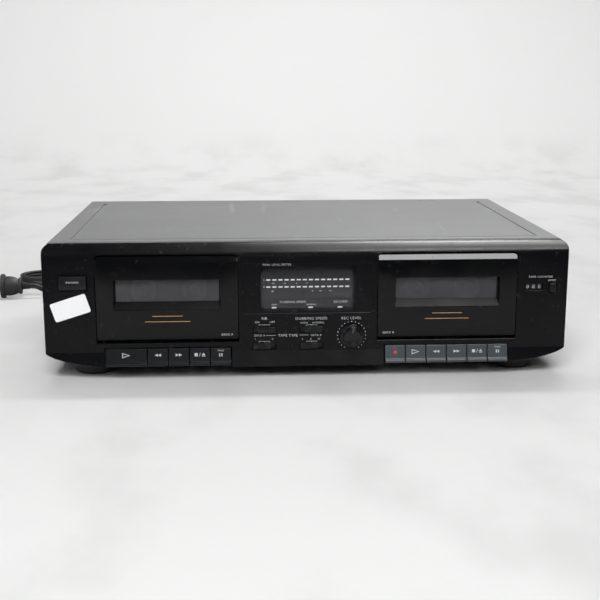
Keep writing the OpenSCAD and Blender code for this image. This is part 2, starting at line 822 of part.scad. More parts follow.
module door(deck) {
    half = door_w / 2;
    lap = pane_lap + pane_room;
    color("#1a1a1d") at_face() translate([deck, 0, 0]) difference() {
        union() {
            difference() {
                intersection() {
                    side_bar(-half, half) door_profile();
                    front_slab(-cut, 2 * hinge_r + cut) {
                        translate([0, door_z + door_h / 2]) round_rect(door_w, door_h, door_corner);
                        translate([0, door_z + door_h / 4]) round_rect(door_w, door_h / 2, door_low_corner);
                    }
                }
                box(
                    [rim_t - half, half - rim_t], [door_skin, door_rim + cut],
                    [holder_low - cut, door_top - slope_h]
                );
            }
            box(
                [-window_w / 2 - 4, window_w / 2 + 4], [door_skin - 0.2, pane_back],
                [window_z - sill_h, window_top + 3]
            );
            bar_x(hinge_r, hinge_z, pin_r, -half - lug_t, half + lug_t);
        }
        window_recess_cut();
        box(
            [-window_w / 2 - lap, window_w / 2 + lap], [window_recess, pane_back + cut],
            [window_z - lap, window_top + lap]
        );
    }
}

module door_window(deck) {
    color("#30343a") at_face() translate([deck, 0, 0]) box(
        [-window_w / 2 - pane_lap, window_w / 2 + pane_lap],
        [window_recess + seat_gap, window_recess + seat_gap + pane_t],
        [window_z - pane_lap, window_top + pane_lap]
    );
}

// Sheet-metal pocket behind the door: front plate, sides, rear lips and two ledges
module cassette_holder(deck) {
    out = holder_half + holder_sheet;
    ledge_z = cassette_z - holder_sheet;
    color("#55585c") at_face() translate([deck, 0, 0]) {
        difference() {
            box([-out, out], [holder_y0, holder_y0 + holder_sheet], [holder_low, holder_top]);
            front_slab(holder_y0 - cut, holder_y0 + holder_sheet + cut)
                translate([0, window_z + window_h / 2]) round_rect(window_w, window_h + 12, 3);
        }
        for (side = [0, 1]) mirror([side, 0, 0]) {
            side_bar(holder_half, out) polygon([
                [holder_y0, holder_low], [cassette_y0, holder_low], [cassette_y0, ledge_z],
                [holder_back, ledge_z], [holder_back, holder_top - 4], [holder_y0, holder_top]
            ]);
            box([holder_half - holder_lip, out], [cassette_y1, holder_back], [ledge_z, holder_top - 4]);
            box([holder_half - ledge_w, out], [cassette_y0, holder_back], [ledge_z, cassette_z]);
        }
    }
}

// Keys: a pad with a finger ridge on a lever that turns on the rod behind it

module key_pad_profile() {
    lean = key_proud + lip_proud * 0.6;
    polygon([
        [-key_proud, key_top_z], [-lean, ridge_z + 1], [-lean - ridge_proud, ridge_z],
        [-lean - ridge_proud, ridge_z - 1.8], [-lean - ridge_proud / 2, key_low_z], [-lean + 2, key_low_z],
        [-lean + 2.6, ridge_z], [1.6, key_top_z - 4], [1.6, key_top_z]
    ]);
}

// A key that starts a number of steps from the row's left end
module key(deck, first, steps) {
    x0 = deck - key_row_w / 2 + first * key_step + key_gap / 2;
    x1 = x0 + steps * key_step - key_gap;
    mid = (x0 + x1) / 2;
    color("#2a2b30") at_face() difference() {
        union() {
            side_bar(x0, x1) key_pad_profile();
            side_bar(mid - arm_w / 2, mid + arm_w / 2) polygon([
                [-1, rod_z - 2.8], [rod_y, rod_z - hub_r], [rod_y + nose_l, rod_z - 1.5],
                [rod_y + nose_l, rod_z + 1.2], [rod_y, rod_z + hub_r], [0.5, rod_z + 3]
            ]);
            bar_x(rod_y, rod_z, hub_r, mid - arm_w / 2, mid + arm_w / 2);
        }
        bar_x(rod_y, rod_z, rod_r + run_gap, mid - arm_w, mid + arm_w);
    }
}

// Buttons, switches and knob

// A push button with a retaining flange behind the panel and a square stem
module push_button(x, z, w, h, proud, stem, stem_end) {
    flange_y = panel_wall + 0.3;
    front_slab(-proud, flange_y + 1) translate([x, z]) round_rect(w, h, 0.6);
    front_slab(flange_y, flange_y + retainer_t) translate([x, z])
        round_rect(w + 2 * (move_gap + retainer_lap), h + 2 * (move_gap + retainer_lap), 0.6);
    box([x - stem / 2, x + stem / 2], [flange_y, stem_end], [z - stem / 2, z + stem / 2]);
}

module power_button() {
    color("#222226") at_face()
        push_button(power_x, power_z, power_w, power_h, power_proud, stem_w, switch_boss_y + 5);
}

module reset_button() {
    color("#26262a") at_face()
        push_button(reset_x, counter_z - 0.4, reset_w, reset_h, reset_proud, 3, counter_back);
}

// A ribbed cap that rests at one end of its slot, -1 for left or 1 for right
module switch_cap(slot_x, z, rest) {
    x = slot_x + rest * switch_travel / 2;
    flange_w = slot_w + switch_travel + 2;
    back = switch_flange_y + switch_flange_t;
    color("#242428") at_face() {
        front_slab(-switch_proud + 0.6, switch_flange_y + 0.1) translate([x, z])
            round_rect(cap_w, slot_h - 2 * move_gap, 0.4);
        for (i = [0:rib_count - 1]) {
            rib_x = x + (i - (rib_count - 1) / 2) * rib_pitch;
            box(
                [rib_x - 0.4, rib_x + 0.4], [-switch_proud, 1],
                [z - slot_h / 2 + move_gap, z + slot_h / 2 - move_gap]
            );
        }
        box([x - flange_w / 2, x + flange_w / 2], [switch_flange_y, back], [z - 3.8, z + 3.8]);
        box(
            [x - switch_stem_w / 2, x + switch_stem_w / 2], [back - 0.1, housing_y0 + 2.5],
            [z - switch_stem_h / 2, z + switch_stem_h / 2]
        );
    }
}

module level_knob() {
    front = -knob_proud;
    skirt_y = -skirt_gap - skirt_t;
    color("#202024") at_face() difference() {
        turned(level_x, level_z) polygon([
            [0, front + 0.5], [cap_r - 2.2, front + 0.5], [cap_r - 1.6, front], [cap_r - 0.8, front],
            [cap_r, front + 0.8], [cap_r + 0.4, skirt_y], [skirt_r - 1, skirt_y], [skirt_r, skirt_y + 1],
            [skirt_r, -skirt_gap], [shaft_r, -skirt_gap], [shaft_r, shaft_end], [0, shaft_end]
        ]);
        box([level_x - 0.4, level_x + 0.4], [front - cut, front + 1], [level_z + 1.5, level_z + cap_r + 1]);
    }
}

// Meter

module meter_window() {
    w = meter_w - 2 * lens_room;
    h = meter_h - 2 * lens_room;
    color("#3a3f44") at_face() {
        front_slab(surround_d, panel_wall + lens_t / 2) translate([0, meter_spot_z]) round_rect(w, h, 0.6);
        front_slab(panel_wall + seat_gap, panel_wall + lens_t) translate([0, meter_spot_z])
            round_rect(w + 2 * lens_lap, h + 2 * lens_lap, 1);
    }
}

// The display's mask with two rows of bars and three lamps, on its own board
module meter_display() {
    w = meter_w - 4;
    row = (bar_count - 1) * bar_pitch;
    raised = [display_y0 - bar_proud, display_y0 + 0.1];
    color("#101214") at_face() {
        box([-w / 2, w / 2], [display_y0, display_board_y - seat_gap], [display_low, meter_z + meter_h - 1]);
        for (share = bar_rows, i = [0:bar_count - 1]) {
            x = i * bar_pitch - row / 2;
            z = meter_z + share * meter_h;
            box([x - bar_w / 2, x + bar_w / 2], raised, [z - bar_h / 2, z + bar_h / 2]);
        }
        for (share = lamp_shares) {
            x = share * meter_w / 2;
            box([x - lamp_w / 2, x + lamp_w / 2], raised, [lamp_z - lamp_h / 2, lamp_z + lamp_h / 2]);
        }
        box(
            [-display_boss_x - 3, display_boss_x + 3], [display_board_y, display_board_y + board_t],
            [meter_z - 3, meter_z + meter_h + 3]
        );
    }
}

// Board behind the middle of the panel, with four switch bodies and the level potentiometer
module control_board() {
    throw = switch_travel / 2 + switch_stem_w / 2 + move_gap;
    color("#2f4a38") at_face() {
        difference() {
            box([-board_half, board_half], [board_y, board_y + board_t], [board_low, board_top]);
            for (spot = board_bosses) bar_y(spot[0], spot[1], 1, board_y - cut, board_y + board_t + cut);
        }
        for (x = [switch_left_x, switch_right_x], z = [switch_upper_z, switch_lower_z]) difference() {
            box(
                [x - housing_w / 2, x + housing_w / 2], [housing_y0, board_y - seat_gap],
                [z - housing_h / 2, z + housing_h / 2]
            );
            box(
                [x - throw, x + throw], [housing_y0 - cut, housing_y0 + housing_slot_d],
                [z - housing_slot_h / 2, z + housing_slot_h / 2]
            );
        }
        difference() {
            union() {
                bar_y(level_x, level_z, pot_r, pot_y0, board_y - seat_gap);
                bar_y(level_x, level_z, bushing_r, surround_d, pot_y0 + cut);
            }
            bar_y(level_x, level_z, shaft_r + run_gap, -cut, shaft_end + 0.5);
        }
    }
}

// Tape counter

module counter_frame() {
    side_x = counter_w / 2 + 0.3;
    out = side_x + frame_sheet;
    color("#3a3a3e") at_face() translate([counter_x, 0, counter_z]) {
        box([-out, out], [counter_back, counter_back + frame_sheet], [-counter_plate_dz, counter_plate_dz]);
        for (side = [-1, 1]) {
            x = side * (side_x + frame_sheet / 2);
            box([x - frame_sheet / 2, x + frame_sheet / 2], [axle_y - 5, counter_back + cut / 2], [-5, 5]);
        }
        bar_x(axle_y, 0, axle_r, -out, out);
    }
}

// A number wheel with a thick rim, a thin web and a hub; the first is at the left
module counter_wheel(index) {
    x = counter_x + (index - (wheel_count - 1) / 2) * wheel_pitch;
    half = wheel_w / 2;
    bore = axle_r + run_gap;
    hub = axle_r + 1.4;
    rim = wheel_r - 1.6;
    web = 1 - half;
    color("#e4e4e0") at_face() translate([x, axle_y, counter_z]) rotate([0, 90, 0]) rotate_extrude()
        polygon([
            [bore, -half], [hub, -half], [hub, web], [rim, web], [rim, -half], [wheel_r, -half],
            [wheel_r, half], [bore, half]
        ]);
}

// Tape transports

module transport_frame(deck, carries_motor) {
    strap_end = strap_post_x + post_r;
    wide = boss_x + plate_ear;
    root = plate_back - cut / 2;
    color("#9a9da1") at_face() translate([deck, 0, 0]) difference() {
        union() {
            difference() {
                union() {
                    box([-plate_half, plate_half], [plate_y, plate_back], [rod_z - 6.5, plate_top]);
                    box([-wide, wide], [plate_y, plate_back], [plate_wide_z, plate_top]);
                }
                box([-ear_in, ear_in], [plate_y - cut, plate_back + cut], [0, plate_low]);
            }
            bar_y(capstan_dx, capstan_z, bearing_r, plate_y - 3.6, plate_back + 1.5);
            for (x = guide_x) {
                bar_y(x, guide_z, guide_r, carriage_y0 - 1, plate_y + cut / 2);
                bar_y(x, guide_z, guide_r + 1.1, carriage_y0 - 1.3, carriage_y0 - 0.3);
            }
            for (side = [-1, 1]) {
                x = side * (ear_in + ear_out) / 2;
                box([x - 0.7, x + 0.7], [rod_y - hub_r, plate_back], [rod_z - 5, rod_z + 5]);
            }
            bar_x(rod_y, rod_z, rod_r, -ear_out, ear_out);
            for (side = [-1, 1]) {
                bar_y(capstan_dx + side * strap_post_x, capstan_z, post_r, root, strap_y0 + cut / 2);
            }
            box(
                [capstan_dx - strap_end, capstan_dx + strap_end], [strap_y0, strap_y0 + strap_t],
                [capstan_z - strap_h / 2, capstan_z + strap_h / 2]
            );
            if (carries_motor) {
                front_slab(motor_plate_y0, motor_plate_y0 + plate_t) translate([motor_dx, motor_z]) {
                    circle(motor_plate_r);
                    for (spot = motor_posts) translate(spot) circle(post_r + 2);
                }
                for (spot = motor_posts) {
                    bar_y(motor_dx + spot[0], motor_z + spot[1], post_r, root, motor_plate_y0 + cut / 2);
                }
            }
        }
        for (side = [-1, 1]) {
            bar_y(side * reel_pitch / 2, reel_z, stub_r + run_gap, plate_y - cut, plate_back + cut);
        }
        bar_y(capstan_dx, capstan_z, capstan_r + run_gap, plate_y - 5, strap_y0 + strap_t + cut);
        for (spot = boss_spots) bar_y(spot[0], spot[1], screw_hole_r, plate_y - cut, plate_back + cut);
        if (carries_motor) {
            bar_y(motor_dx, motor_z, pulley_flange_r + 0.6, motor_plate_y0 - cut, motor_y0 + cut);
        }
    }
}

// A reel: flange, finned spindle and a drive disc behind the plate, side -1 for supply or 1 for take-up
module reel(deck, side) {
    x = deck + side * reel_pitch / 2;
    flange_y = plate_y - 3.2;
    disc_y = plate_back + 0.5;
    disc_r = reel_flange_r - 3.5;
    color("#d8d8d4") at_face() {
        turned(x, reel_z) polygon([
            [0, spindle_y], [spindle_r - 1.6, spindle_y], [spindle_r, spindle_y + 2.4],
            [spindle_r, flange_y], [reel_flange_r, flange_y], [reel_flange_r, flange_y + 2],
            [stub_r, flange_y + 2],
            [stub_r, disc_y], [disc_r, disc_y], [disc_r, disc_y + 1.6], [0, disc_y + 1.6]
        ]);
        translate([x, 0, reel_z]) for (turn = [0, 120, 240]) rotate([0, turn, 0])
            box([-0.5, 0.5], [spindle_y + 1.6, flange_y + 0.2], [0, spindle_r + 0.7]);
    }
}

// A flywheel on its capstan: the shaft runs in the bearing in front and in the strap behind
module flywheel(deck) {
    y0 = flywheel_y0;
    y1 = flywheel_y1;
    end = strap_y0 + strap_t - 0.2;
    hub = 5;
    rim = flywheel_r - 7;
    web = [y0 + 4, y0 + 7];
    color("#b9a36a") at_face() turned(deck + capstan_dx, capstan_z) polygon([
        [0, spindle_y], [capstan_r, spindle_y], [capstan_r, y0], [hub, y0], [hub, web[0]], [rim, web[0]],
        [rim, y0], [flywheel_r, y0], [flywheel_r, y1], [rim, y1], [rim, web[1]],
        [hub, web[1]], [hub, y1], [capstan_r, y1], [capstan_r, end], [0, end]
    ]);
}

// Sliding plate with the tape head and the pinch roller's pin; a recording deck has an erase head too
module head_carriage(deck, erases) {
    head_y = [spindle_y - 1.6, carriage_y0 - seat_gap];
    head_low = carriage_low + 1;
    head_top = cassette_z - 1.2;
    pin_root = carriage_y0 + carriage_t / 2;
    color("#a4a7ab") at_face() translate([deck, 0, 0]) {
        difference() {
            front_slab(carriage_y0, carriage_y1) polygon([
                [carriage_left, carriage_low], [carriage_right, carriage_low],
                [carriage_right, carriage_arm_top], [carriage_step, carriage_arm_top],
                [carriage_step, carriage_top], [carriage_left, carriage_top]
            ]);
            for (x = guide_x) {
                bar_y(x, guide_z, guide_r + run_gap, carriage_y0 - cut, carriage_y1 + cut);
                bar_y(x, guide_z - head_travel, guide_r + run_gap, carriage_y0 - cut, carriage_y1 + cut);
                box(
                    [x - guide_r - run_gap, x + guide_r + run_gap], [carriage_y0 - cut, carriage_y1 + cut],
                    [guide_z - head_travel, guide_z]
                );
            }
        }
        front_slab(head_y[0], head_y[1]) intersection() {
            translate([-6, head_low]) square([12, head_top - head_low]);
            translate([0, head_top - 8]) circle(8);
        }
        if (erases) front_slab(head_y[0] + 2, head_y[1]) intersection() {
            translate([-17, head_low]) square([7, head_top - head_low - 1]);
            translate([-13.5, head_top - 6]) circle(5);
        }
        bar_y(capstan_dx, roller_z, roller_pin_r, roller_y0 - 1.2, pin_root);
        bar_y(capstan_dx, roller_z, roller_pin_r + 1, roller_y0 - 1.2, roller_y0 - 0.4);
        bar_y(capstan_dx, roller_z, roller_pin_r + 1, roller_y0 + roller_w + 0.4, pin_root);
    }
}

module pinch_roller(deck) {
    bore = roller_pin_r + run_gap;
    y0 = roller_y0;
    y1 = roller_y0 + roller_w;
    edge = 0.4;
    color("#1e1e1e") at_face() turned(deck + capstan_dx, roller_z) polygon([
        [bore, y0], [roller_r - edge, y0], [roller_r, y0 + edge],
        [roller_r, y1 - edge], [roller_r - edge, y1], [bore, y1]
    ]);
}

// Drive: one motor turns both flywheels through one belt

module drive_motor() {
    color("#b4b6b8") at_face() difference() {
        union() {
            bar_y(deck_b + motor_dx, motor_z, motor_r, motor_y0, motor_y0 + motor_l);
            bar_y(deck_b + motor_dx, motor_z, motor_r / 3, motor_y0 + motor_l - cut, motor_y0 + motor_l + 2);
        }
        bar_y(deck_b + motor_dx, motor_z, pulley_shaft_r + run_gap, motor_y0 - cut, motor_y0 + 9);
    }
}

module motor_pulley() {
    y0 = belt_y0 - 1.8;
    y1 = belt_y0 + belt_w + 1.8;
    end = motor_y0 + 8;
    flange = pulley_flange_r;
    color("#c8b070") at_face() turned(deck_b + motor_dx, motor_z) polygon([
        [0, y0], [flange, y0], [flange, y0 + 1.2], [pulley_r, y0 + 1.4], [pulley_r, y1 - 1.4],
        [flange, y1 - 1.2], [flange, y1], [pulley_shaft_r, y1], [pulley_shaft_r, end], [0, end]
    ]);
}

// The belt's outline round both flywheels and the pulley, grown by a margin
module belt_outline(grow) {
    hull() {
        for (deck = [deck_a, deck_b]) translate([deck + capstan_dx, capstan_z]) circle(flywheel_r + grow);
        translate([deck_b + motor_dx, motor_z]) circle(pulley_r + grow);
    }
}

module drive_belt() {
    color("#202020") at_face() front_slab(belt_y0, belt_y0 + belt_w) difference() {
        belt_outline(belt_gap + belt_t);
        belt_outline(belt_gap);
    }
}

// Circuit board, mains supply and jacks

module main_board() {
    x = [main_board_x[0] - main_board_edge, main_board_x[1] + main_board_edge];
    y = [main_board_y[0] - main_board_edge, main_board_y[1] + main_board_edge];
    top = main_board_low + board_t + seat_gap;
    color("#2f4a38") at_face() {
        box(x, y, [main_board_low, main_board_low + board_t]);
        for (spot = can_spots) {
            bar_z(
                x[0] + spot[0] * (x[1] - x[0]), y[0] + spot[1] * (y[1] - y[0]), can_r * spot[2],
                top, top + can_h * spot[2]
            );
        }
        for (spot = chip_spots) {
            chip_x = x[0] + spot[0] * (x[1] - x[0]);
            chip_y = y[0] + spot[1] * (y[1] - y[0]);
            box(
                [chip_x - chip_w / 2, chip_x + chip_w / 2], [chip_y - chip_l / 2, chip_y + chip_l / 2],
                [top, top + chip_h]
            );
        }
    }
}

// Transformer on the floor, and the power switch behind its button
module power_supply() {
    y = [supply_y - core_t / 2, supply_y + core_t / 2];
    leg = core_w / 6;
    wide = power_switch_w / 2;
    tall = power_switch_h / 2;
    hole = stem_w / 2 + move_gap;
    color("#6b6257") at_face() {
        translate([supply_x, 0, floor_z]) {
            difference() {
                union() {
                    box([-core_w / 2, core_w / 2], y, [0, core_h]);
                    box([-core_w / 2 - 9, core_w / 2 + 9], [y[0] + 4, y[1] - 4], [0, 1.5]);
                }
                for (side = [-1, 1]) {
                    x = side * 1.5 * leg;
                    box([x - leg / 2, x + leg / 2], [y[0] - cut, y[1] + cut], [leg, core_h - leg]);
                }
            }
            difference() {
                box([-2 * leg + 0.3, 2 * leg - 0.3], [y[0] - 9, y[1] + 9], [leg + 0.3, core_h - leg - 0.3]);
                box([-leg - 0.3, leg + 0.3], [y[0] - 0.3, y[1] + 0.3], [0, core_h]);
            }
        }
        translate([power_x, 0, power_z]) difference() {
            union() {
                box(
                    [-4, 4], [switch_boss_y, switch_boss_y + 1.5],
                    [-switch_boss_dz - 3, switch_boss_dz + 3]
                );
                box([-wide, wide], [switch_boss_y, switch_boss_y + power_switch_l], [-tall, tall]);
            }
            box([-hole, hole], [0, switch_boss_y + power_switch_l / 2], [-hole, hole]);
        }
    }
}

// Four phono jacks behind the rear wall, each with a square body and a round shell
module line_jacks() {
    inside = case_d - sheet - seat_gap;
    half = (jack_pitch - seat_gap) / 2;
    end = case_d + jack_proud;
    color("#2a2a2c") at_face() for (spot = jack_spots) difference() {
        union() {
            translate([spot[0], 0, spot[1]])
                box([-half, half], [inside - jack_block_t, inside], [-half, half]);
            bar_y(spot[0], spot[1], jack_r, inside - cut, end);
        }
        bar_y(spot[0], spot[1], jack_bore_r, end - jack_bore_l, end + cut);
    }
}

// Mains lead

function unit(v) = v / norm(v);
function smooth(t) = t * t * (3 - 2 * t);

// Direction of a route at one of its points
function heading(route, i) =
    let (before = route[max(i - 1, 0)], after = route[min(i + 1, len(route) - 1)])
    unit(after - before);

// The lead stands on its edge: its width is upright, and its thickness lies across the way it runs
function lead_ring(route, i, sides) =
    let (way = heading(route, i), across = unit(cross(way, [0, 0, 1])), upright = cross(across, way))
    [for (k = [0:sides - 1]) let (a = 360 * (k + 0.5) / sides)
        route[i] + across * (cord_t / 2 * cos(a) / cos(180 / sides)) + upright * (cord_w / 2 * sin(a))];

// One unbroken tube along a route, closed by a fan of triangles at each end
module lead_tube(route, sides) {
    last = len(route) - 1;
    points = [for (i = [0:last]) each lead_ring(route, i, sides)];
    walls = [for (i = [0:last - 1], k = [0:sides - 1])
        let (a = i * sides + k, b = i * sides + (k + 1) % sides)
        each [[a, b, b + sides], [a, b + sides, a + sides]]];
    start = [for (k = [1:sides - 2]) [0, k + 1, k]];
    end = [for (k = [1:sides - 2]) [last * sides, last * sides + k, last * sides + k + 1]];
    polyhedron(points = points, faces = concat(walls, start, end), convexity = 10);
}

// Middle of the hank's tube after a number of loops: in on the lower layer, out again on the upper one
function hank_point(loops) =
    let (
        half = hank_loops / 2,
        r = hank_inner_r + hank_step * abs(half - loops),
        climb = smooth(min(max((loops - half + 0.25) / 0.5, 0), 1)),
        z = hank_z + hank_layer * climb,
        part = loops - floor(loops),
        round = PI * (r + 0.001),
        whole = 2 * (hank_run + round),
        s = part * whole
    )
    s < hank_run ? hank_side(s, -1, r, z)
    : s < hank_run + round ? hank_end((s - hank_run) / round, -1, r, z)
    : s < 2 * hank_run + round ? hank_side(s - hank_run - round, 1, r, z)
    : hank_end((s - 2 * hank_run - round) / round, 1, r, z);

// Along a run, drawn in at the waist; the front run goes left and the back run goes right
function hank_side(s, back, r, z) =
    let (draw = hank_waist * (1 - cos(360 * s / hank_run)) / 2, along = hank_run / 2 - s)
    [hank_mid[0] - back * along, hank_mid[1] + back * (r - draw), z];

// Round an end of the hank
function hank_end(t, right, r, z) =
    [hank_mid[0] + right * (hank_run / 2 + r * sin(180 * t)), hank_mid[1] + right * r * cos(180 * t), z];

hank_turns = [for (i = [0:hank_rings * hank_loops]) hank_point(min(i / hank_rings, hank_loops - 0.0001))];

// The tube starts and ends with a short straight stub
hank_route = concat([hank_turns[0] + hank_stub], hank_turns, [hank_turns[len(hank_turns) - 1] - hank_stub]);

// Least distance between the skins of rings that lie at least a third of a loop apart
function hank_least_gap() =
    let (
        apart = floor(hank_rings / 3),
        rings = [for (i = [0:len(hank_route) - 1]) lead_ring(hank_route, i, 6)]
    )
    min([for (i = [0:len(rings) - 1 - apart], j = [i + apart:len(rings) - 1])
        if (norm(hank_route[i] - hank_route[j]) < 2 * cord_w) for (a = rings[i], b = rings[j]) norm(a - b)]);

module cord_grommet() {
    inside = case_d - sheet - seat_gap;
    color("#161618") at_face() turned(cord_x, cord_z) polygon([
        [0, inside - 6], [gland_r + 1.6, inside - 6], [gland_r + 1.6, inside], [gland_r, inside],
        [gland_r, case_d + seat_gap], [gland_r + 1.6, case_d + seat_gap], [gland_r + 1.6, case_d + 2.5],
        [relief_r0, case_d + 2.5], [relief_r1, case_d + relief_l], [0, case_d + relief_l]
    ]);
}

module cord_run() { color("#141416") at_lead() lead_tube(run_points, 8); }

module cord_lead() { color("#141416") at_lead() lead_tube(lead_points, 8); }

module cord_hank() {
    echo(least_gap_between_loops = hank_least_gap());
    color("#141416") at_lead() lead_tube(hank_route, 6);
}

// A band round the hank's waist
module cord_tie() {
    half = hank_outer_r - hank_waist + cord_t / 2 + 1.2;
    low = hank_z - cord_w / 2 - tie_room;
    high = hank_z + hank_layer + cord_w / 2 + tie_room;
    color("#0e0e0e") at_lead() translate([hank_mid[0], hank_mid[1], 0]) difference() {
        box([-tie_w / 2, tie_w / 2], [-half - tie_t, half + tie_t], [low - tie_t, high + tie_t]);
        box([-tie_w, tie_w], [-half, half], [low, high]);
    }
}

// Two-pin plug that lies on its flange, with its blades to the left
module mains_plug() {
    pin_x = pin_pitch / 2;
    color("#161618") at_lead() translate(plug_end) rotate([0, -90, 0]) {
        rotate_extrude() polygon([[0, 0], [relief_r1, 0], [relief_r0, collar_l], [0, collar_l]]);
        translate([0, 0, collar_l - 0.5]) linear_extrude(3.5) round_rect(18.6, 14, 3);
        translate([0, 0, collar_l + 2.5]) linear_extrude(flange_l - collar_l - 2) round_rect(20, 15, 4);
        translate([0, 0, flange_l]) linear_extrude(face_l - flange_l) round_rect(flange_tall, 18, 8);
        for (side = [-1, 1]) {
            translate([side * pin_x - pin_w / 2, -pin_t / 2, face_l + seat_gap]) cube([pin_w, pin_t, pin_l]);
        }
    }
}

front_panel();
top_cover();
base_chassis();
feet();
case_screws();
door(deck_a);  // door_a
door_window(deck_a);  // door_window_a
cassette_holder(deck_a);  // cassette_holder_a
door(deck_b);  // door_b
door_window(deck_b);  // door_window_b
cassette_holder(deck_b);  // cassette_holder_b
key(deck_a, 0, 2);  // key_a_play
key(deck_a, 2, 1);  // key_a_rewind
key(deck_a, 3, 1);  // key_a_forward
key(deck_a, 4, 1);  // key_a_stop
key(deck_a, 5, 1);  // key_a_pause
key(deck_b, 0, 1);  // key_b_record
key(deck_b, 1, 1);  // key_b_play
key(deck_b, 2, 1);  // key_b_rewind
key(deck_b, 3, 1);  // key_b_forward
key(deck_b, 4, 1);  // key_b_stop
key(deck_b, 5, 1);  // key_b_pause
power_button();
switch_cap(switch_left_x, switch_upper_z, 1);  // noise_switch_cap
switch_cap(switch_left_x, switch_lower_z, -1);  // tape_type_cap_a
switch_cap(switch_right_x, switch_upper_z, 1);  // dub_speed_cap
switch_cap(switch_right_x, switch_lower_z, -1);  // tape_type_cap_b
level_knob();
meter_window();
meter_display();
control_board();
counter_frame();
counter_wheel(0);  // counter_wheel_hundreds
counter_wheel(1);  // counter_wheel_tens
counter_wheel(2);  // counter_wheel_units
reset_button();
transport_frame(deck_a, false);  // transport_frame_a
reel(deck_a, -1);  // supply_reel_a
reel(deck_a, 1);  // takeup_reel_a
flywheel(deck_a);  // flywheel_a
head_carriage(deck_a, false);  // head_carriage_a
pinch_roller(deck_a);  // pinch_roller_a
transport_frame(deck_b, true);  // transport_frame_b
reel(deck_b, -1);  // supply_reel_b
reel(deck_b, 1);  // takeup_reel_b
flywheel(deck_b);  // flywheel_b
head_carriage(deck_b, true);  // head_carriage_b
pinch_roller(deck_b);  // pinch_roller_b
drive_motor();
motor_pulley();
drive_belt();
main_board();
power_supply();
line_jacks();
cord_grommet();
cord_run();
cord_hank();
cord_lead();
cord_tie();
mains_plug();
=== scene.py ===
"""Finishes, prints, mains lead and stage of a double cassette deck.

The file is laid out as an add-on: one operator for each group of pieces, and a panel that lists them.
"""

import math

import bmesh
import bpy
from bpy.props import FloatProperty, FloatVectorProperty, PointerProperty
from mathutils import Matrix, Vector


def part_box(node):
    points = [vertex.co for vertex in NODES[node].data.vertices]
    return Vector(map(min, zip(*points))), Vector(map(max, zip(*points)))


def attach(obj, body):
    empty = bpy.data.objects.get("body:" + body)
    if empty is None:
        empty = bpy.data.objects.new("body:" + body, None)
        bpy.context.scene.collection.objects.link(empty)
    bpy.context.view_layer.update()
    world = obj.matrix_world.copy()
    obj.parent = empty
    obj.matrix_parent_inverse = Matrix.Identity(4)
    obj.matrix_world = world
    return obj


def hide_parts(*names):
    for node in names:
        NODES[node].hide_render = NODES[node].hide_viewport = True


bl_info = {
    "name": "Double Cassette Deck",
    "version": (1, 0, 0),
    "blender": (4, 5, 0),
    "location": "View3D > Sidebar > Deck",
    "description": "Dresses a double cassette deck with its finishes, prints, lead and stage",
    "category": "Object",
}

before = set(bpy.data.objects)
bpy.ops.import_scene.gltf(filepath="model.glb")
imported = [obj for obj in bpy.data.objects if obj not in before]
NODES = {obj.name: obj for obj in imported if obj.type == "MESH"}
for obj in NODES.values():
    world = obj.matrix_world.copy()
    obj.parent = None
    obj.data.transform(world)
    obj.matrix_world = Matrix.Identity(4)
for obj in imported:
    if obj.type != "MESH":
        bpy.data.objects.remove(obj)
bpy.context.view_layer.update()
MM = 0.001

# The front face is the plane of the doors' faces
FACE_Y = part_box("door_a")[0].y
DECKS = ("a", "b")
KEYS = {
    "a": ("play", "rewind", "forward", "stop", "pause"),
    "b": ("record", "play", "rewind", "forward", "stop", "pause"),
}
SWITCHES = ("noise_switch_cap", "tape_type_cap_a", "dub_speed_cap", "tape_type_cap_b")
WHEELS = ("hundreds", "tens", "units")


def middle(node):
    """Middle of a CAD node's box."""
    low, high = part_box(node)
    return (low + high) / 2


# Settings


def length(name, default, description):
    """A size in metres."""
    return FloatProperty(
        name=name, description=description, default=default, min=0, unit="LENGTH", precision=5
    )


def colour(name, default, description):
    """A linear colour."""
    return FloatVectorProperty(
        name=name, description=description, default=default, size=3, min=0, max=1, subtype="COLOR"
    )


class DeckColours(bpy.types.PropertyGroup):
    """Colours of the main finishes."""

    panel: colour("Panel", (0.0028, 0.0029, 0.0036), "Moulded front panel")
    door: colour("Doors", (0.0016, 0.0018, 0.0022), "Cassette doors")
    cover: colour("Cover", (0.124, 0.125, 0.130), "Painted sheet-metal cover")
    key_dark: colour("Left keys", (0.0055, 0.0066, 0.0078), "Keys of the left deck")
    key_grey: colour("Right keys", (0.050, 0.059, 0.067), "Keys of the right deck")
    print_white: colour("White print", (0.56, 0.57, 0.58), "Legends and icons")
    print_red: colour("Red print", (0.45, 0.05, 0.05), "Record marks")
    print_gold: colour("Gold print", (0.50, 0.27, 0.10), "Pinstripes on the doors")
    lead: colour("Lead", (0.006, 0.006, 0.0065), "Mains lead and plug")


class DeckSizes(bpy.types.PropertyGroup):
    """Sizes of the prints and edges."""

    legend_h: length("Legend height", 0.0022, "Height of the capitals in a legend")
    small_h: length("Small legend height", 0.0016, "Height of the capitals in a small legend")
    print_t: length("Print thickness", 0.00004, "Thickness of a printed mark")
    edge: length("Edge radius", 0.0004, "Rounding of moulded edges")
    label_w: length("Label width", 0.0300, "Width of the paper label")
    label_h: length("Label height", 0.0158, "Height of the paper label")


def colours():
    return bpy.context.scene.deck_colours


def sizes():
    return bpy.context.scene.deck_sizes


# Shaders


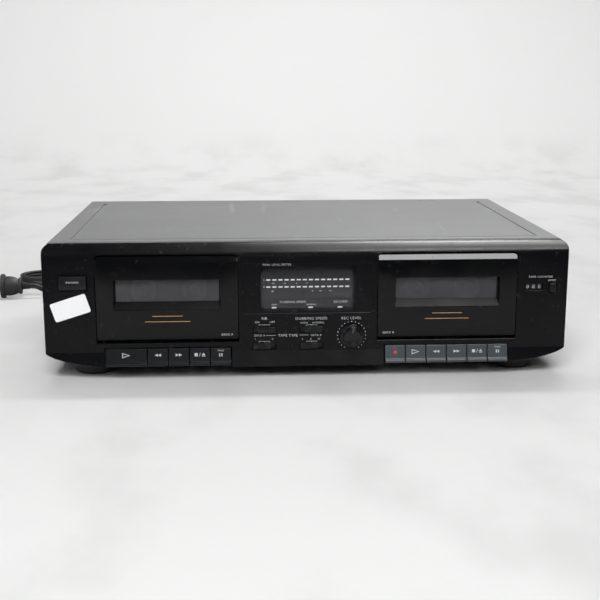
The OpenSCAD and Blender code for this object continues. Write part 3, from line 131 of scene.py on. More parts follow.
class Val:
    """A shader socket that takes part in Python arithmetic."""

    def __init__(self, finish, socket):
        self.finish = finish
        self.socket = socket

    def math(self, operation, *values):
        return self.finish.node("ShaderNodeMath", {"operation": operation}, dict(enumerate(values)))

    def __add__(self, other):
        return self.math("ADD", self, other)

    def __sub__(self, other):
        return self.math("SUBTRACT", self, other)

    def __rsub__(self, other):
        return self.math("SUBTRACT", other, self)

    def __mul__(self, other):
        return self.math("MULTIPLY", self, other)

    __radd__ = __add__
    __rmul__ = __mul__

    def step(self, low, high):
        """0 below low, 1 above high, smooth between."""
        settings = {"interpolation_type": "SMOOTHSTEP"}
        sockets = {"Value": self, "From Min": low, "From Max": high}
        return self.finish.node("ShaderNodeMapRange", settings, sockets)


class Finish:
    """One material, built from nodes round its Principled shader."""

    def __init__(self, name, constants):
        self.material = bpy.data.materials.new(name)
        self.material.use_nodes = True
        self.tree = self.material.node_tree
        self.shader = self.tree.nodes["Principled BSDF"]
        self.set(constants)

    def feed(self, socket, value):
        if isinstance(value, Val):
            self.tree.links.new(value.socket, socket)
        elif hasattr(value, "__len__") and len(value) == 3 and len(socket.default_value) == 4:
            socket.default_value = (*value, 1.0)
        else:
            socket.default_value = value

    def node(self, kind, settings=None, sockets=None, out=0):
        """Any other node: its settings come first, then the values or links of its sockets."""
        made = self.tree.nodes.new(kind)
        for key, value in (settings or {}).items():
            setattr(made, key, value)
        for key, value in (sockets or {}).items():
            self.feed(made.inputs[key], value)
        return Val(self, made.outputs[out])

    def set(self, sockets):
        """Values or links of the Principled shader's sockets."""
        for key, value in sockets.items():
            self.feed(self.shader.inputs[key], value)

    def done(self, shade, roughness, normal=None):
        """The material, once the shader has what varies over the surface."""
        self.set({"Base Color": shade, "Roughness": roughness})
        if normal:
            self.set({"Normal": normal})
        return self.material

    def point(self):
        return self.node("ShaderNodeTexCoord", out="Object")

    def noise(self, scale, detail, stretch=None):
        vector = self.point()
        if stretch:
            vector = self.node("ShaderNodeMapping", None, {"Vector": vector, "Scale": stretch})
        sockets = {"Vector": vector, "Scale": scale, "Detail": detail}
        return self.node("ShaderNodeTexNoise", None, sockets)

    def mix(self, factor, first, second):
        settings = {"data_type": "RGBA"}
        return self.node("ShaderNodeMix", settings, {0: factor, 6: first, 7: second}, out=2)

    def rounded(self, radius):
        """Surface normal with the edges rounded."""
        return self.node("ShaderNodeBevel", {"samples": 6}, {"Radius": radius})

    def worn(self, radius):
        """1 on sharp edges, 0 on flat faces."""
        true = self.node("ShaderNodeNewGeometry", out="Normal")
        settings = {"operation": "DOT_PRODUCT"}
        sockets = {0: self.rounded(radius), 1: true}
        dot = self.node("ShaderNodeVectorMath", settings, sockets, out="Value")
        return (1.0 - dot).step(0.0, 0.3)

    def bump(self, height, strength, distance, normal=None):
        sockets = {"Height": height, "Strength": strength, "Distance": distance}
        if normal:
            sockets["Normal"] = normal
        return self.node("ShaderNodeBump", None, sockets)


def tint(base, factor):
    """A lighter or darker shade of a colour."""
    return tuple(min(1.0, channel * factor) for channel in base)


def moulded(name, base, roughness, gloss=0.5, grain=2600.0, depth=0.00002):
    """Moulded plastic: spark grain, faint handling marks, dust and rubbed edges."""
    finish = Finish(name, {"Specular IOR Level": gloss})
    marks = finish.noise(35.0, 4.0).step(0.42, 0.72)
    dust = finish.noise(210.0, 5.0).step(0.60, 0.78)
    rub = finish.worn(0.0006) * finish.noise(420.0, 3.0).step(0.35, 0.7)
    shade = finish.mix(marks * 0.5, base, tint(base, 1.35))
    shade = finish.mix(dust * 0.03, shade, (0.30, 0.29, 0.28))
    shade = finish.mix(rub * 0.35, shade, tint(base, 5.0))
    spark = finish.bump(finish.noise(grain, 2.0), 0.25, depth, finish.rounded(0.0004))
    return finish.done(shade, roughness - 0.08 * marks + 0.10 * dust, spark)


def painted(name, base, roughness):
    """Baked paint on sheet metal: orange peel, fine texture and light scuffs along the depth."""
    finish = Finish(name, {"Specular IOR Level": 0.50})
    cloud = finish.noise(9.0, 3.0).step(0.3, 0.75)
    scuff = finish.noise(60.0, 6.0, (1.0, 0.12, 1.0)).step(0.62, 0.74)
    shade = finish.mix(cloud * 0.6, tint(base, 0.88), tint(base, 1.15))
    shade = finish.mix(scuff * 0.04, shade, tint(base, 3.0))
    rub = finish.worn(0.0007) * finish.noise(300.0, 3.0).step(0.4, 0.7)
    shade = finish.mix(rub * 0.3, shade, tint(base, 4.0))
    peel = finish.bump(finish.noise(1800.0, 3.0), 0.18, 0.00003, finish.rounded(0.0005))
    return finish.done(shade, roughness + 0.06 * cloud - 0.08 * scuff, peel)


def machined(name, base, roughness):
    """Turned or polished metal with fine rings and stains."""
    finish = Finish(name, {"Metallic": 1.0})
    stain = finish.noise(120.0, 3.0)
    shade = finish.mix(stain * 0.35, base, tint(base, 0.72))
    rings = finish.noise(900.0, 2.0, (1.0, 6.0, 1.0))
    rings = finish.bump(rings, 0.1, 0.00002, finish.rounded(0.0003))
    return finish.done(shade, roughness + 0.15 * stain, rings)


def soft_vinyl(name, base, roughness):
    """Soft vinyl or rubber with a matte bloom."""
    finish = Finish(name, {"Specular IOR Level": 0.4})
    bloom = finish.noise(90.0, 4.0).step(0.4, 0.75)
    shade = finish.mix(bloom * 0.5, base, tint(base, 2.2))
    pores = finish.bump(finish.noise(1500.0, 3.0), 0.2, 0.00003)
    return finish.done(shade, roughness + 0.12 * bloom, pores)


def printed(name, base):
    """Screen-printed ink with a slightly uneven cover."""
    finish = Finish(name, {"Specular IOR Level": 0.3})
    cover = finish.noise(1400.0, 3.0).step(0.25, 0.65)
    shade = finish.mix(cover, tint(base, 0.8), base)
    return finish.done(shade, 0.55 + 0.1 * cover)


def smoked(name, base, alpha):
    """Smoked plastic with faint haze and fine scratches: a clear pane, or a mask where alpha is 1."""
    finish = Finish(name, {"Specular IOR Level": 0.5})
    haze = finish.noise(45.0, 4.0).step(0.4, 0.8)
    scratch = finish.noise(240.0, 2.0, (0.05, 1.0, 1.0)).step(0.66, 0.72)
    shade = finish.mix(haze * 0.3, base, tint(base, 1.4))
    finish.set({"Alpha": alpha + 0.05 * haze if alpha < 1 else 1.0})
    return finish.done(shade, 0.05 + 0.05 * haze + 0.1 * scratch)


def board(name, base):
    """Circuit board with solder mask over copper tracks."""
    finish = Finish(name, {"Specular IOR Level": 0.5})
    sockets = {"Vector": finish.point(), "Scale": 130.0, "Mortar Size": 0.03}
    tracks = finish.node("ShaderNodeTexBrick", {"offset": 0.35}, sockets, out="Fac")
    shade = finish.mix(tracks * 0.6, base, tint(base, 1.9))
    return finish.done(shade, 0.35 + 0.1 * tracks)


def paper(name, base):
    """Matte paper with a trace of paler fibre."""
    finish = Finish(name, {"Specular IOR Level": 0.25})
    fibre = finish.noise(700.0, 5.0)
    shade = finish.mix(fibre, base, (0.88, 0.88, 0.89))
    return finish.done(shade, 0.75 + 0.1 * fibre, finish.bump(fibre, 0.15, 0.00004))


# Each finish: its maker, its material's name, its colour or the setting that holds it, and the maker's
# other values
FINISHES = {
    "panel": (moulded, "panel_plastic", "panel", 0.26, 0.15),
    "door": (moulded, "door_plastic", "door", 0.14, 0.225, 3200.0, 0.00001),
    "sill": (moulded, "sill_plastic", "door", 0.40, 0.08, 3200.0, 0.00001),
    "key_dark": (moulded, "key_plastic_dark", "key_dark", 0.34, 0.25, 3000.0, 0.00001),
    "key_grey": (moulded, "key_plastic_grey", "key_grey", 0.34, 0.25, 3000.0, 0.00001),
    "control": (moulded, "control_plastic", (0.006, 0.006, 0.007), 0.3, 0.3),
    "inner": (moulded, "inner_plastic", (0.02, 0.02, 0.022), 0.5),
    "transport": (moulded, "transport_cover", (0.13, 0.128, 0.14), 0.5),
    "reel": (moulded, "reel_acetal", (0.30, 0.30, 0.29), 0.45, 0.4),
    "insulator_white": (moulded, "white_insulator", (0.6, 0.6, 0.58), 0.4),
    "insulator_red": (moulded, "red_insulator", (0.45, 0.02, 0.02), 0.4),
    "cover": (painted, "cover_paint", "cover", 0.36),
    "holder": (painted, "holder_paint", (0.022, 0.022, 0.024), 0.45),
    "supply": (painted, "transformer_varnish", (0.08, 0.07, 0.06), 0.4),
    "chassis": (painted, "chassis_paint", (0.016, 0.016, 0.017), 0.42),
    "carriage": (machined, "blackened_steel", (0.045, 0.045, 0.047), 0.38),
    "flywheel": (machined, "zinc_casting", (0.07, 0.066, 0.06), 0.40),
    "steel": (machined, "polished_steel", (0.55, 0.55, 0.56), 0.22),
    "brass": (machined, "turned_brass", (0.60, 0.44, 0.19), 0.25),
    "nickel": (machined, "nickel_plate", (0.62, 0.60, 0.56), 0.2),
    "screw": (machined, "black_screw", (0.05, 0.05, 0.052), 0.35),
    "rubber": (soft_vinyl, "black_rubber", (0.012, 0.012, 0.012), 0.7),
    "lead": (soft_vinyl, "lead_vinyl", "lead", 0.55),
    "foot": (soft_vinyl, "foot_plastic", (0.010, 0.010, 0.011), 0.5),
    "pane": (smoked, "smoked_pane", (0.053, 0.051, 0.058), 0.56),
    "lens": (smoked, "meter_lens", (0.02, 0.02, 0.022), 0.04),
    "display": (smoked, "display_mask", (0.026, 0.026, 0.030), 1.0),
    "board": (board, "circuit_board", (0.02, 0.09, 0.035)),
    "diffuser": (printed, "white_diffuser", (0.88, 0.89, 0.90)),
    "black": (printed, "black_ink", (0.002, 0.002, 0.002)),
    "grey": (printed, "grey_ink", (0.09, 0.09, 0.095)),
    "white": (printed, "white_ink", "print_white"),
    "red": (printed, "red_ink", "print_red"),
    "gold": (printed, "gold_ink", "print_gold"),
    "label": (paper, "label_paper", (0.80, 0.81, 0.83)),
}
MADE = {}


def finish_of(name):
    """Each finish is made once, when it is first used."""
    if name not in MADE:
        maker, material, base, *rest = FINISHES[name]
        if isinstance(base, str):
            base = tuple(getattr(colours(), base))
        MADE[name] = maker(material, base, *rest)
    return MADE[name]


# Meshes


def placed(name, data):
    """A new object in the scene."""
    obj = bpy.data.objects.new(name, data)
    bpy.context.scene.collection.objects.link(obj)
    return obj


def shape_of(obj):
    """A mesh made from a curve or text object, which is then removed."""
    curve = obj.data
    shape = bpy.data.meshes.new_from_object(obj.evaluated_get(bpy.context.evaluated_depsgraph_get()))
    bpy.data.objects.remove(obj)
    bpy.data.curves.remove(curve)
    return shape


def merged(mesh, apart=1e-7):
    """A copy of a mesh with its doubles merged."""
    bm = bmesh.new()
    bm.from_mesh(mesh)
    bmesh.ops.remove_doubles(bm, verts=bm.verts, dist=apart)
    return bm


def bevel(bm, geom, offset, segments, affect="EDGES", **more):
    """Rounds edges or corners."""
    bmesh.ops.bevel(
        bm, geom=geom, offset=offset, segments=segments, profile=0.5, affect=affect, material=-1, **more
    )


def draw_out(bm, made, shift):
    """Moves the new vertices of an extrusion."""
    verts = [item for item in made["geom"] if isinstance(item, bmesh.types.BMVert)]
    bmesh.ops.translate(bm, vec=shift, verts=verts)


def dress(node, finish):
    """Gives a CAD node's object its finish."""
    mesh = NODES[node].data
    mesh.materials.clear()
    mesh.materials.append(finish_of(finish))


def piece(name, bm, body, finishes, replaces=(), crease=32.0):
    """A finished mesh piece that rides on a body. Edges sharper than crease degrees stay crisp."""
    bmesh.ops.recalc_face_normals(bm, faces=bm.faces)
    for face in bm.faces:
        face.smooth = True
    for edge in bm.edges:
        edge.smooth = edge.calc_face_angle(math.pi) < math.radians(crease)
    mesh = bpy.data.meshes.new(name)
    bm.to_mesh(mesh)
    bm.free()
    for finish in [finishes] if isinstance(finishes, str) else finishes:
        mesh.materials.append(finish_of(finish))
    obj = placed(name, mesh)
    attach(obj, body)
    if replaces:
        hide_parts(*replaces)
    return obj


def join(bm, part, place, finish=0):
    """Adds a part's mesh to another mesh, placed by a matrix and with one of its finishes."""
    bmesh.ops.transform(part, matrix=place, verts=part.verts)
    for face in part.faces:
        face.material_index = finish
    shape = bpy.data.meshes.new("shape")
    part.to_mesh(shape)
    part.free()
    bm.from_mesh(shape)
    bpy.data.meshes.remove(shape)


def turned(profile, steps):
    """A profile of (radius, height) in millimetres, spun about z."""
    bm = bmesh.new()
    verts = [bm.verts.new((radius * MM, 0.0, height * MM)) for radius, height in profile]
    edges = [bm.edges.new(pair) for pair in zip(verts, verts[1:])]
    bmesh.ops.spin(
        bm, geom=verts + edges, cent=(0, 0, 0), axis=(0, 0, 1), angle=math.tau, steps=steps,
        use_merge=True,
    )
    bmesh.ops.remove_doubles(bm, verts=bm.verts, dist=1e-7)
    return bm


def prism(outline, low, high, corner=0.0):
    """A flat outline in x and y, made solid from low to high."""
    bm = bmesh.new()
    verts = [bm.verts.new((x, y, low)) for x, y in outline]
    bm.faces.new(verts)
    if corner:
        bevel(bm, verts, corner, 4, "VERTICES")
    raised = bmesh.ops.extrude_face_region(bm, geom=list(bm.faces), use_keep_orig=True)
    draw_out(bm, raised, (0, 0, high - low))
    return bm


def block(low, high, edge):
    """A box between two corners, with rounded edges."""
    bm = bmesh.new()
    size = Vector(high) - Vector(low)
    place = Matrix.Translation((Vector(low) + Vector(high)) / 2) @ Matrix.Diagonal((*size, 1.0))
    bmesh.ops.create_cube(bm, size=1.0, matrix=place)
    bevel(bm, list(bm.edges), edge, 3)
    return bm


def rectangle(x, y, w, h):
    """Corners of a rectangle about a middle."""
    return [(x + i * w / 2, y + j * h / 2) for i, j in ((-1, -1), (1, -1), (1, 1), (-1, 1))]


def copied(node):
    """A copy of a CAD node's mesh, joined up from its loose triangles."""
    return merged(NODES[node].data, 2e-6)


def rounded_copy(node, edge, keep=lambda point: True):
    """A copy of a CAD node's mesh whose sharp edges are rounded."""
    bm = copied(node)
    bmesh.ops.dissolve_limit(bm, angle_limit=math.radians(1.0), verts=bm.verts, edges=bm.edges)
    sharp = [
        e for e in bm.edges
        if e.calc_face_angle(0.0) > math.radians(28.0) and all(keep(v.co) for v in e.verts)
    ]
    bevel(bm, sharp, edge, 2, clamp_overlap=False, loop_slide=True)
    return bm


# Axes for lathes and prints


def axes(x, y, z, place):
    """A matrix whose columns are the local x, y and z, and the place."""
    return Matrix((*zip(x, y, z, place), (0, 0, 0, 1)))


def forward_axis(place):
    """Local z runs towards the front."""
    return axes((1, 0, 0), (0, 0, 1), (0, -1, 0), place)


def rear_axis(place):
    """Local z runs towards the rear."""
    return axes((-1, 0, 0), (0, 0, 1), (0, 1, 0), place)


def left_axis(place):
    """Local z runs to the left, and local x upwards."""
    return axes((0, 0, 1), (0, -1, 0), (-1, 0, 0), place)


# Share of the font's size that its capitals take up
CAPITALS = 0.69


class Print:
    """Marks of one ink on one body, collected into one mesh.

    Positions are in millimetres on the printed plane.
    """

    def __init__(self, place):
        self.bm = bmesh.new()
        self.place = place
        self.high = sizes().print_t

    def word(self, text, x, y, height, bold=0.0, wide=1.0, space=1.0):
        """A line of text whose capitals have this height in metres, centred on y."""
        curve = bpy.data.curves.new("legend", "FONT")
        curve.body = text
        curve.size = height / CAPITALS
        curve.align_x = "CENTER"
        curve.align_y = "BOTTOM_BASELINE"
        curve.resolution_u = 2
        curve.offset = bold
        curve.space_character = space
        curve.extrude = self.high / 2
        shape = shape_of(placed("legend", curve))
        letters = merged(shape)
        bpy.data.meshes.remove(shape)
        shift = Matrix.Translation((x * MM, y * MM - height / 2, self.high))
        join(self.bm, letters, self.place @ shift @ Matrix.Diagonal((wide, 1, 1, 1)))

    def shape(self, outline):
        """A flat shape given by its outline."""
        points = [(x * MM, y * MM) for x, y in outline]
        join(self.bm, prism(points, self.high / 2, 1.5 * self.high), self.place)

    def bar(self, x, y, w, h):
        self.shape(rectangle(x, y, w, h))

    def disc(self, x, y, r, steps):
        turns = [math.tau * i / steps for i in range(steps)]
        self.shape([(x + r * math.cos(turn), y + r * math.sin(turn)) for turn in turns])

    def done(self, name, body, ink, slot=None):
        piece(name, self.bm, body, ink)


def face_print(depth=0.0):
    """A print on the front face, or on a plane behind it."""
    return Print(forward_axis((0.0, FACE_Y + depth, 0.0)))


# Mains lead: the part's own route, in metres from the floor under the end of the strain relief

RUN_POINTS = [
    (0.0, 0.0, 0.034), (0.0, 0.007, 0.034), (0.0, 0.016, 0.0325), (-0.0005, 0.026, 0.028),
    (-0.0025, 0.036, 0.0215), (-0.0065, 0.045, 0.0145), (-0.013, 0.053, 0.009), (-0.0215, 0.0595, 0.0056),
    (-0.031, 0.0638, 0.0042), (-0.041, 0.0659, 0.004), (-0.048, 0.0663, 0.004), (-0.055, 0.0663, 0.004),
]
LEAD_POINTS = [
    (-0.061, 0.0663, 0.0102), (-0.067, 0.0663, 0.0102), (-0.0755, 0.0652, 0.0098),
    (-0.084, 0.0619, 0.0088), (-0.0915, 0.0566, 0.0074), (-0.0975, 0.0496, 0.0062),
    (-0.1015, 0.0417, 0.0054), (-0.1055, 0.0337, 0.0054), (-0.1115, 0.0267, 0.006),
    (-0.119, 0.0214, 0.0072), (-0.1275, 0.0181, 0.0096), (-0.134, 0.017, 0.0129), (-0.1405, 0.017, 0.0136),
]
CORD_T = 0.0028
HANK_LOOPS = 4
HANK_MID = (-0.100, 0.091)
HANK_RUN = 0.084
HANK_INNER_R = 0.0175
HANK_STEP = 0.0036
HANK_LAYER = 0.0062
HANK_WAIST = 0.009
HANK_Z = 0.004
HANK_RINGS = 48


def hank_point(loops):
    """Middle of the hank's tube after a number of loops: in on the lower layer, out on the upper one."""
    half = HANK_LOOPS / 2
    r = HANK_INNER_R + HANK_STEP * abs(half - loops)
    climb = min(max((loops - half + 0.25) / 0.5, 0.0), 1.0)
    z = HANK_Z + HANK_LAYER * climb * climb * (3 - 2 * climb)
    bend = math.pi * r
    s = (loops % 1.0) * 2 * (HANK_RUN + bend)
    for back in (-1, 1):
        if s < HANK_RUN:
            draw = HANK_WAIST * (1 - math.cos(math.tau * s / HANK_RUN)) / 2
            return (HANK_MID[0] - back * (HANK_RUN / 2 - s), HANK_MID[1] + back * (r - draw), z)
        s -= HANK_RUN
        if s < bend:
            turn = s / r
            return (
                HANK_MID[0] + back * (HANK_RUN / 2 + r * math.sin(turn)),
                HANK_MID[1] + back * r * math.cos(turn), z,
            )
        s -= bend


def lead_route():
    """The whole lead's points in the part's frame."""
    count = HANK_RINGS * HANK_LOOPS
    turns = [hank_point(min(i / HANK_RINGS, HANK_LOOPS - 1e-6)) for i in range(count + 1)]
    home_x = middle("cord_grommet").x
    home_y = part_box("cord_grommet")[1].y
    return [(home_x + x, home_y + y, z) for x, y, z in RUN_POINTS + turns + LEAD_POINTS]


def lead_curve(points, profile=None):
    """A smooth curve through the route that keeps the lead's width upright."""
    curve = bpy.data.curves.new("route", "CURVE")
    curve.dimensions = "3D"
    curve.twist_mode = "Z_UP"
    curve.resolution_u = 3
    spline = curve.splines.new("BEZIER")
    spline.bezier_points.add(len(points) - 1)
    for knot, point in zip(spline.bezier_points, points):
        knot.co = point
        knot.handle_left_type = knot.handle_right_type = "AUTO"
    if profile:
        curve.bevel_mode = "OBJECT"
        curve.bevel_object = profile
        curve.use_fill_caps = True
    return placed("route", curve)


def twin_profile():
    """Outline of a flat twin lead: two round cores with a groove on each side."""
    curve = bpy.data.curves.new("twin", "CURVE")
    spline = curve.splines.new("POLY")
    r = CORD_T / 2
    groove = math.radians(38)
    steps = 9
    points = []
    for lobe in (1, -1):
        for i in range(steps + 1):
            turn = (lobe - 1) * math.pi / 2 + groove + (math.tau - 2 * groove) * i / steps
            points.append((r * math.cos(turn), lobe * r + r * math.sin(turn)))
    spline.points.add(len(points) - 1)
    for knot, (x, y) in zip(spline.points, points):
        knot.co = (x, y, 0, 1)
    spline.use_cyclic_u = True
    return placed("twin", curve)


class DECK_OT_mains_lead(bpy.types.Operator):
    """Flat twin lead with its hank, tie, plug and strain relief"""

    bl_idname = "deck.mains_lead"
    bl_label = "Mains lead"

    def execute(self, context):
        points = lead_route()
        line = shape_of(lead_curve(points))
        bpy.data.meshes.remove(line)
        profile = twin_profile()
        tube = shape_of(lead_curve(points, profile))
        bpy.data.objects.remove(profile)
        bm = merged(tube)
        bpy.data.meshes.remove(tube)
        nodes = ("cord_run", "cord_hank", "cord_lead")
        lead = piece("mains_lead", bm, "case", "lead", nodes, 60.0)
        plug = self.plug(Vector(points[-1]))
        tie = self.tie()
        self.relief()
        return {"FINISHED"}

    def plug(self, end):
        """Two-pin plug: ribbed relief, collar, waisted body, flange and two blades."""
        ribs = [(3.0 + 0.9 * (i % 2) + 0.06 * i, 0.85 * i) for i in range(11)]
        rest = [
            (4.6, 8.6), (8.8, 8.8), (9.4, 9.5), (9.4, 11.3), (8.8, 12.0), (7.8, 12.3), (9.4, 15.0),
            (10.6, 19.0), (11.0, 23.0), (10.9, 26.4), (12.8, 27.0), (13.5, 27.8), (13.5, 30.6),
            (12.9, 31.4), (0.0, 31.5),
        ]
        bm = bmesh.new()
        flat = Matrix.Diagonal((1.0, 0.67, 1.0, 1.0))
        join(bm, turned([(0.0, 0.0)] + ribs + rest, 40), left_axis(end) @ flat)
        # Each blade: from its root to its tip, half its thickness and width, half the space between
        root, tip, half_t, half_w, half_gap = (size * MM for size in (31.3, 48.5, 0.75, 3.2, 6.35))
        for z in (end.z - half_gap, end.z + half_gap):
            low = (end.x - tip, end.y - half_t, z - half_w)
            high = (end.x - root, end.y + half_t, z + half_w)
            join(bm, block(low, high, 0.4 * MM), Matrix.Identity(4), 1)
        return piece("plug", bm, "case", ("lead", "nickel"), ("mains_plug",))

    def tie(self):
        """A soft band round the hank's waist."""
        low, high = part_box("cord_tie")
        corners = [(low.y, low.z), (high.y, low.z), (high.y, high.z), (low.y, high.z)]
        bm = bmesh.new()
        verts = [bm.verts.new((low.x, y, z)) for y, z in corners]
        bm.faces.new(verts)
        bevel(bm, verts, 4 * MM, 5, "VERTICES")
        edges = list(bm.edges)
        bmesh.ops.delete(bm, geom=list(bm.faces), context="FACES_ONLY")
        band = bmesh.ops.extrude_edge_only(bm, edges=edges)
        draw_out(bm, band, (high.x - low.x, 0, 0))
        bmesh.ops.recalc_face_normals(bm, faces=bm.faces)
        bmesh.ops.solidify(bm, geom=list(bm.faces), thickness=0.8 * MM)
        return piece("tie", bm, "case", "rubber", ("cord_tie",))

    def relief(self):
        """Tapered, ribbed strain relief in the rear wall."""
        low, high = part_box("cord_grommet")
        axis = middle("cord_grommet")
        tail = (high.y - low.y) / MM
        points = [
            (0.0, 0.0), (7.0, 0.0), (7.6, 0.6), (7.6, 5.9), (6.0, 6.0), (6.0, 7.1), (7.2, 7.1),
            (7.6, 7.6), (7.6, 9.0), (7.2, 9.6), (5.0, 9.6),
        ]
        grooves = 6
        for i in range(grooves):
            at = 10.5 + (tail - 13.5) * i / grooves
            r = 5.0 - 1.2 * i / grooves
            points += [(r, at), (r, at + 1.6), (r - 0.8, at + 1.8), (r - 0.8, at + 2.4)]
        points += [(3.7, tail - 2.2), (3.7, tail - 0.4), (3.3, tail), (0.0, tail)]
        bm = bmesh.new()
        join(bm, turned(points, 32), rear_axis((axis.x, low.y, axis.z)))
        piece("strain_relief", bm, "case", "lead", ("cord_grommet",))


# Case


class DECK_OT_case(bpy.types.Operator):
    """Front panel, cover, chassis, feet, screws and the paper label"""

    bl_idname = "deck.case"
    bl_label = "Case"

    # Millimetres: the clip of a lower front corner along x, y and z, and a foot's radius
    clip = (16.0, 12.0, 5.0)
    foot_r = 18.0
    # The label's middle on the face, in metres, and its turn in degrees
    label_at = (-0.1933, 0.0613)
    label_turn = 17.5

    def execute(self, context):
        front = FACE_Y + 0.5 * MM
        panel = rounded_copy("front_panel", sizes().edge, lambda point: point.y < front)
        piece("panel", panel, "case", "panel", ("front_panel",), 8.0)
        for node, name in (("top_cover", "cover"), ("base_chassis", "chassis")):
            piece(name, self.clipped_copy(node), "case", name, (node,), crease=8.0)
        dress("case_screws", "screw")
        self.feet()
        self.label()
        return {"FINISHED"}

    def clipped_copy(self, node):
        """A copy of a CAD node's mesh whose lower front corners are clipped behind the panel's lip."""
        low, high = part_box(node)
        along, deep, tall = self.clip
        bm = copied(node)
        for side, x in ((-1, low.x), (1, high.x)):
            out = Vector((side / along, -1 / deep, -1 / tall)).normalized()
            cut = bmesh.ops.bisect_plane(
                bm, geom=bm.verts[:] + bm.edges[:] + bm.faces[:], dist=1e-7, clear_outer=True,
                plane_co=(x, low.y + deep * MM, low.z), plane_no=out,
            )
            rim = [item for item in cut["geom_cut"] if isinstance(item, bmesh.types.BMEdge)]
            bmesh.ops.holes_fill(bm, edges=rim)
        return bm

    def feet(self):
        """Round feet with a soft ring underneath."""
        low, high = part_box("feet")
        r = self.foot_r * MM
        bm = bmesh.new()
        profile = [
            (4.6, 6.0), (4.6, 0.4), (5.0, 0.0), (10.6, 0.0), (11.0, 0.5), (13.4, 0.5), (13.8, 0.0),
            (15.0, 0.0), (16.15, 0.23), (17.12, 0.88), (17.77, 1.85), (self.foot_r, 3.0),
            (self.foot_r, 8.7), (17.8, 8.9), (17.8, 9.3), (self.foot_r, 9.5), (self.foot_r, 11.7),
            (17.7, 12.0), (1.7, 12.0), (1.7, 6.0), (4.6, 6.0),
        ]
        for x in (low.x + r, high.x - r):
            for y in (low.y + r, high.y - r):
                join(bm, turned(profile, 56), Matrix.Translation((x, y, 0.0)))
        piece("foot_set", bm, "case", "foot", ("feet",))

    def label(self):
        """A blank paper label on the left of the panel."""
        x, z = self.label_at
        turn = Matrix.Rotation(math.radians(self.label_turn), 4, "Z")
        outline = rectangle(0, 0, sizes().label_w, sizes().label_h)
        bm = bmesh.new()
        join(bm, prism(outline, 0.02 * MM, 0.14 * MM, 1.6 * MM), forward_axis((x, FACE_Y, z)) @ turn)
        piece("paper_label", bm, "case", "label")


# Doors


class DECK_OT_doors(bpy.types.Operator):
    """Cassette doors with their panes, holders, pinstripes and names"""

    bl_idname = "deck.doors"
    bl_label = "Doors"

    def execute(self, context):
        front = FACE_Y + 4.0 * MM
        for deck in DECKS:
            body = "door_" + deck
            door = rounded_copy(body, sizes().edge, lambda point: point.y < front)
            self.mark_sill(door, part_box("door_window_" + deck)[0].z)
            piece("door_shell_" + deck, door, body, ("door", "sill"), (body,), 8.0)
            dress("door_window_" + deck, "pane")
            dress("cassette_holder_" + deck, "holder")
            x = middle("door_window_" + deck).x / MM
            stripes = face_print()
            for z, w in ((53.6, 24.5), (49.0, 36.5)):
                stripes.bar(x, z, w, 0.5)
            stripes.done("door_stripes_" + deck, body, "gold")
            name = face_print()
            x += 48.5 if deck == "a" else -48.5
            name.word("DECK " + deck.upper(), x, 37.6, sizes().small_h, wide=1.1, space=1.08)
            name.done("door_name_" + deck, body, "white")
        return {"FINISHED"}

    def mark_sill(self, door, pane_low):
        """The slope under the pane is duller than the rest of the door."""
        door.normal_update()
        for face in door.faces:
            height = face.calc_center_median().z - pane_low
            if 0.5 < face.normal.z < 0.8 and -8 * MM < height < 4 * MM:
                face.material_index = 1


# Keys


class DECK_OT_keys(bpy.types.Operator):
    """Piano keys with their icons"""

    bl_idname = "deck.keys"
    bl_label = "Keys"

    # Millimetres: how far the slope's top and foot stand before the front face, and its height
    slope_top = 1.6
    slope_foot = 3.4
    slope_h = 10.8

    def execute(self, context):
        for deck in DECKS:
            finish, slot = ("key_dark", "key_black") if deck == "a" else ("key_grey", "key_grey")
            for key in KEYS[deck]:
                node = f"key_{deck}_{key}"
                pad = rounded_copy(node, 0.3 * MM)
                piece(f"pad_{deck}_{key}", pad, node, finish, (node,), 12.0)
                self.icon(node, key)
        return {"FINISHED"}

    def icon(self, node, key):
        """The key's mark, on the slope above its ridge."""
        x = middle(node).x
        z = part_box(node)[1].z
        top = Vector((x, FACE_Y - self.slope_top * MM, z))
        foot = Vector((x, FACE_Y - self.slope_foot * MM, z - self.slope_h * MM))
        up = (top - foot).normalized()
        out = Vector((1, 0, 0)).cross(up)
        mark = Print(axes((1, 0, 0), up, out, foot.lerp(top, 0.52)))
        getattr(self, key)(mark)
        mark.done("icon_" + node, node, "red" if key == "record" else "white")

    def play(self, mark):
        """An outlined triangle, as three strokes."""
        w, h, t = 6.6, 4.2, 0.55
        outer = [(-w / 2, -h / 2), (w / 2, 0), (-w / 2, h / 2)]
        inner = [(-w / 2 + t, -h / 2 + 1.7 * t), (w / 2 - 2.1 * t, 0), (-w / 2 + t, h / 2 - 1.7 * t)]
        for i in range(3):
            j = (i + 1) % 3
            mark.shape([outer[i], outer[j], inner[j], inner[i]])

    def rewind(self, mark):
        self.arrows(mark, -2.6)

    def forward(self, mark):
        self.arrows(mark, 2.6)

    def arrows(self, mark, w):
        """Two solid triangles that point the way of w."""
        for x in (-1.3, 1.3):
            mark.shape([(x - w / 2, -1.2), (x + w / 2, 0), (x - w / 2, 1.2)])

    def stop(self, mark):
        mark.bar(-3.0, 0, 2.6, 2.6)
        mark.shape([(-0.7, -1.5), (-0.3, -1.5), (0.7, 1.5), (0.3, 1.5)])
        mark.shape([(1.6, -0.3), (4.4, -0.3), (3.0, 1.5)])
        mark.bar(3.0, -1.1, 2.8, 0.7)

    def pause(self, mark):
        for x in (-0.9, 0.9):
            mark.bar(x, -0.4, 0.9, 2.6)
        mark.word("PAUSE", 0, 3.2, 0.0012)

    def record(self, mark):
        mark.disc(0, -0.3, 1.5, 20)
        mark.word("REC", 0, 3.2, 0.0012)


# Controls


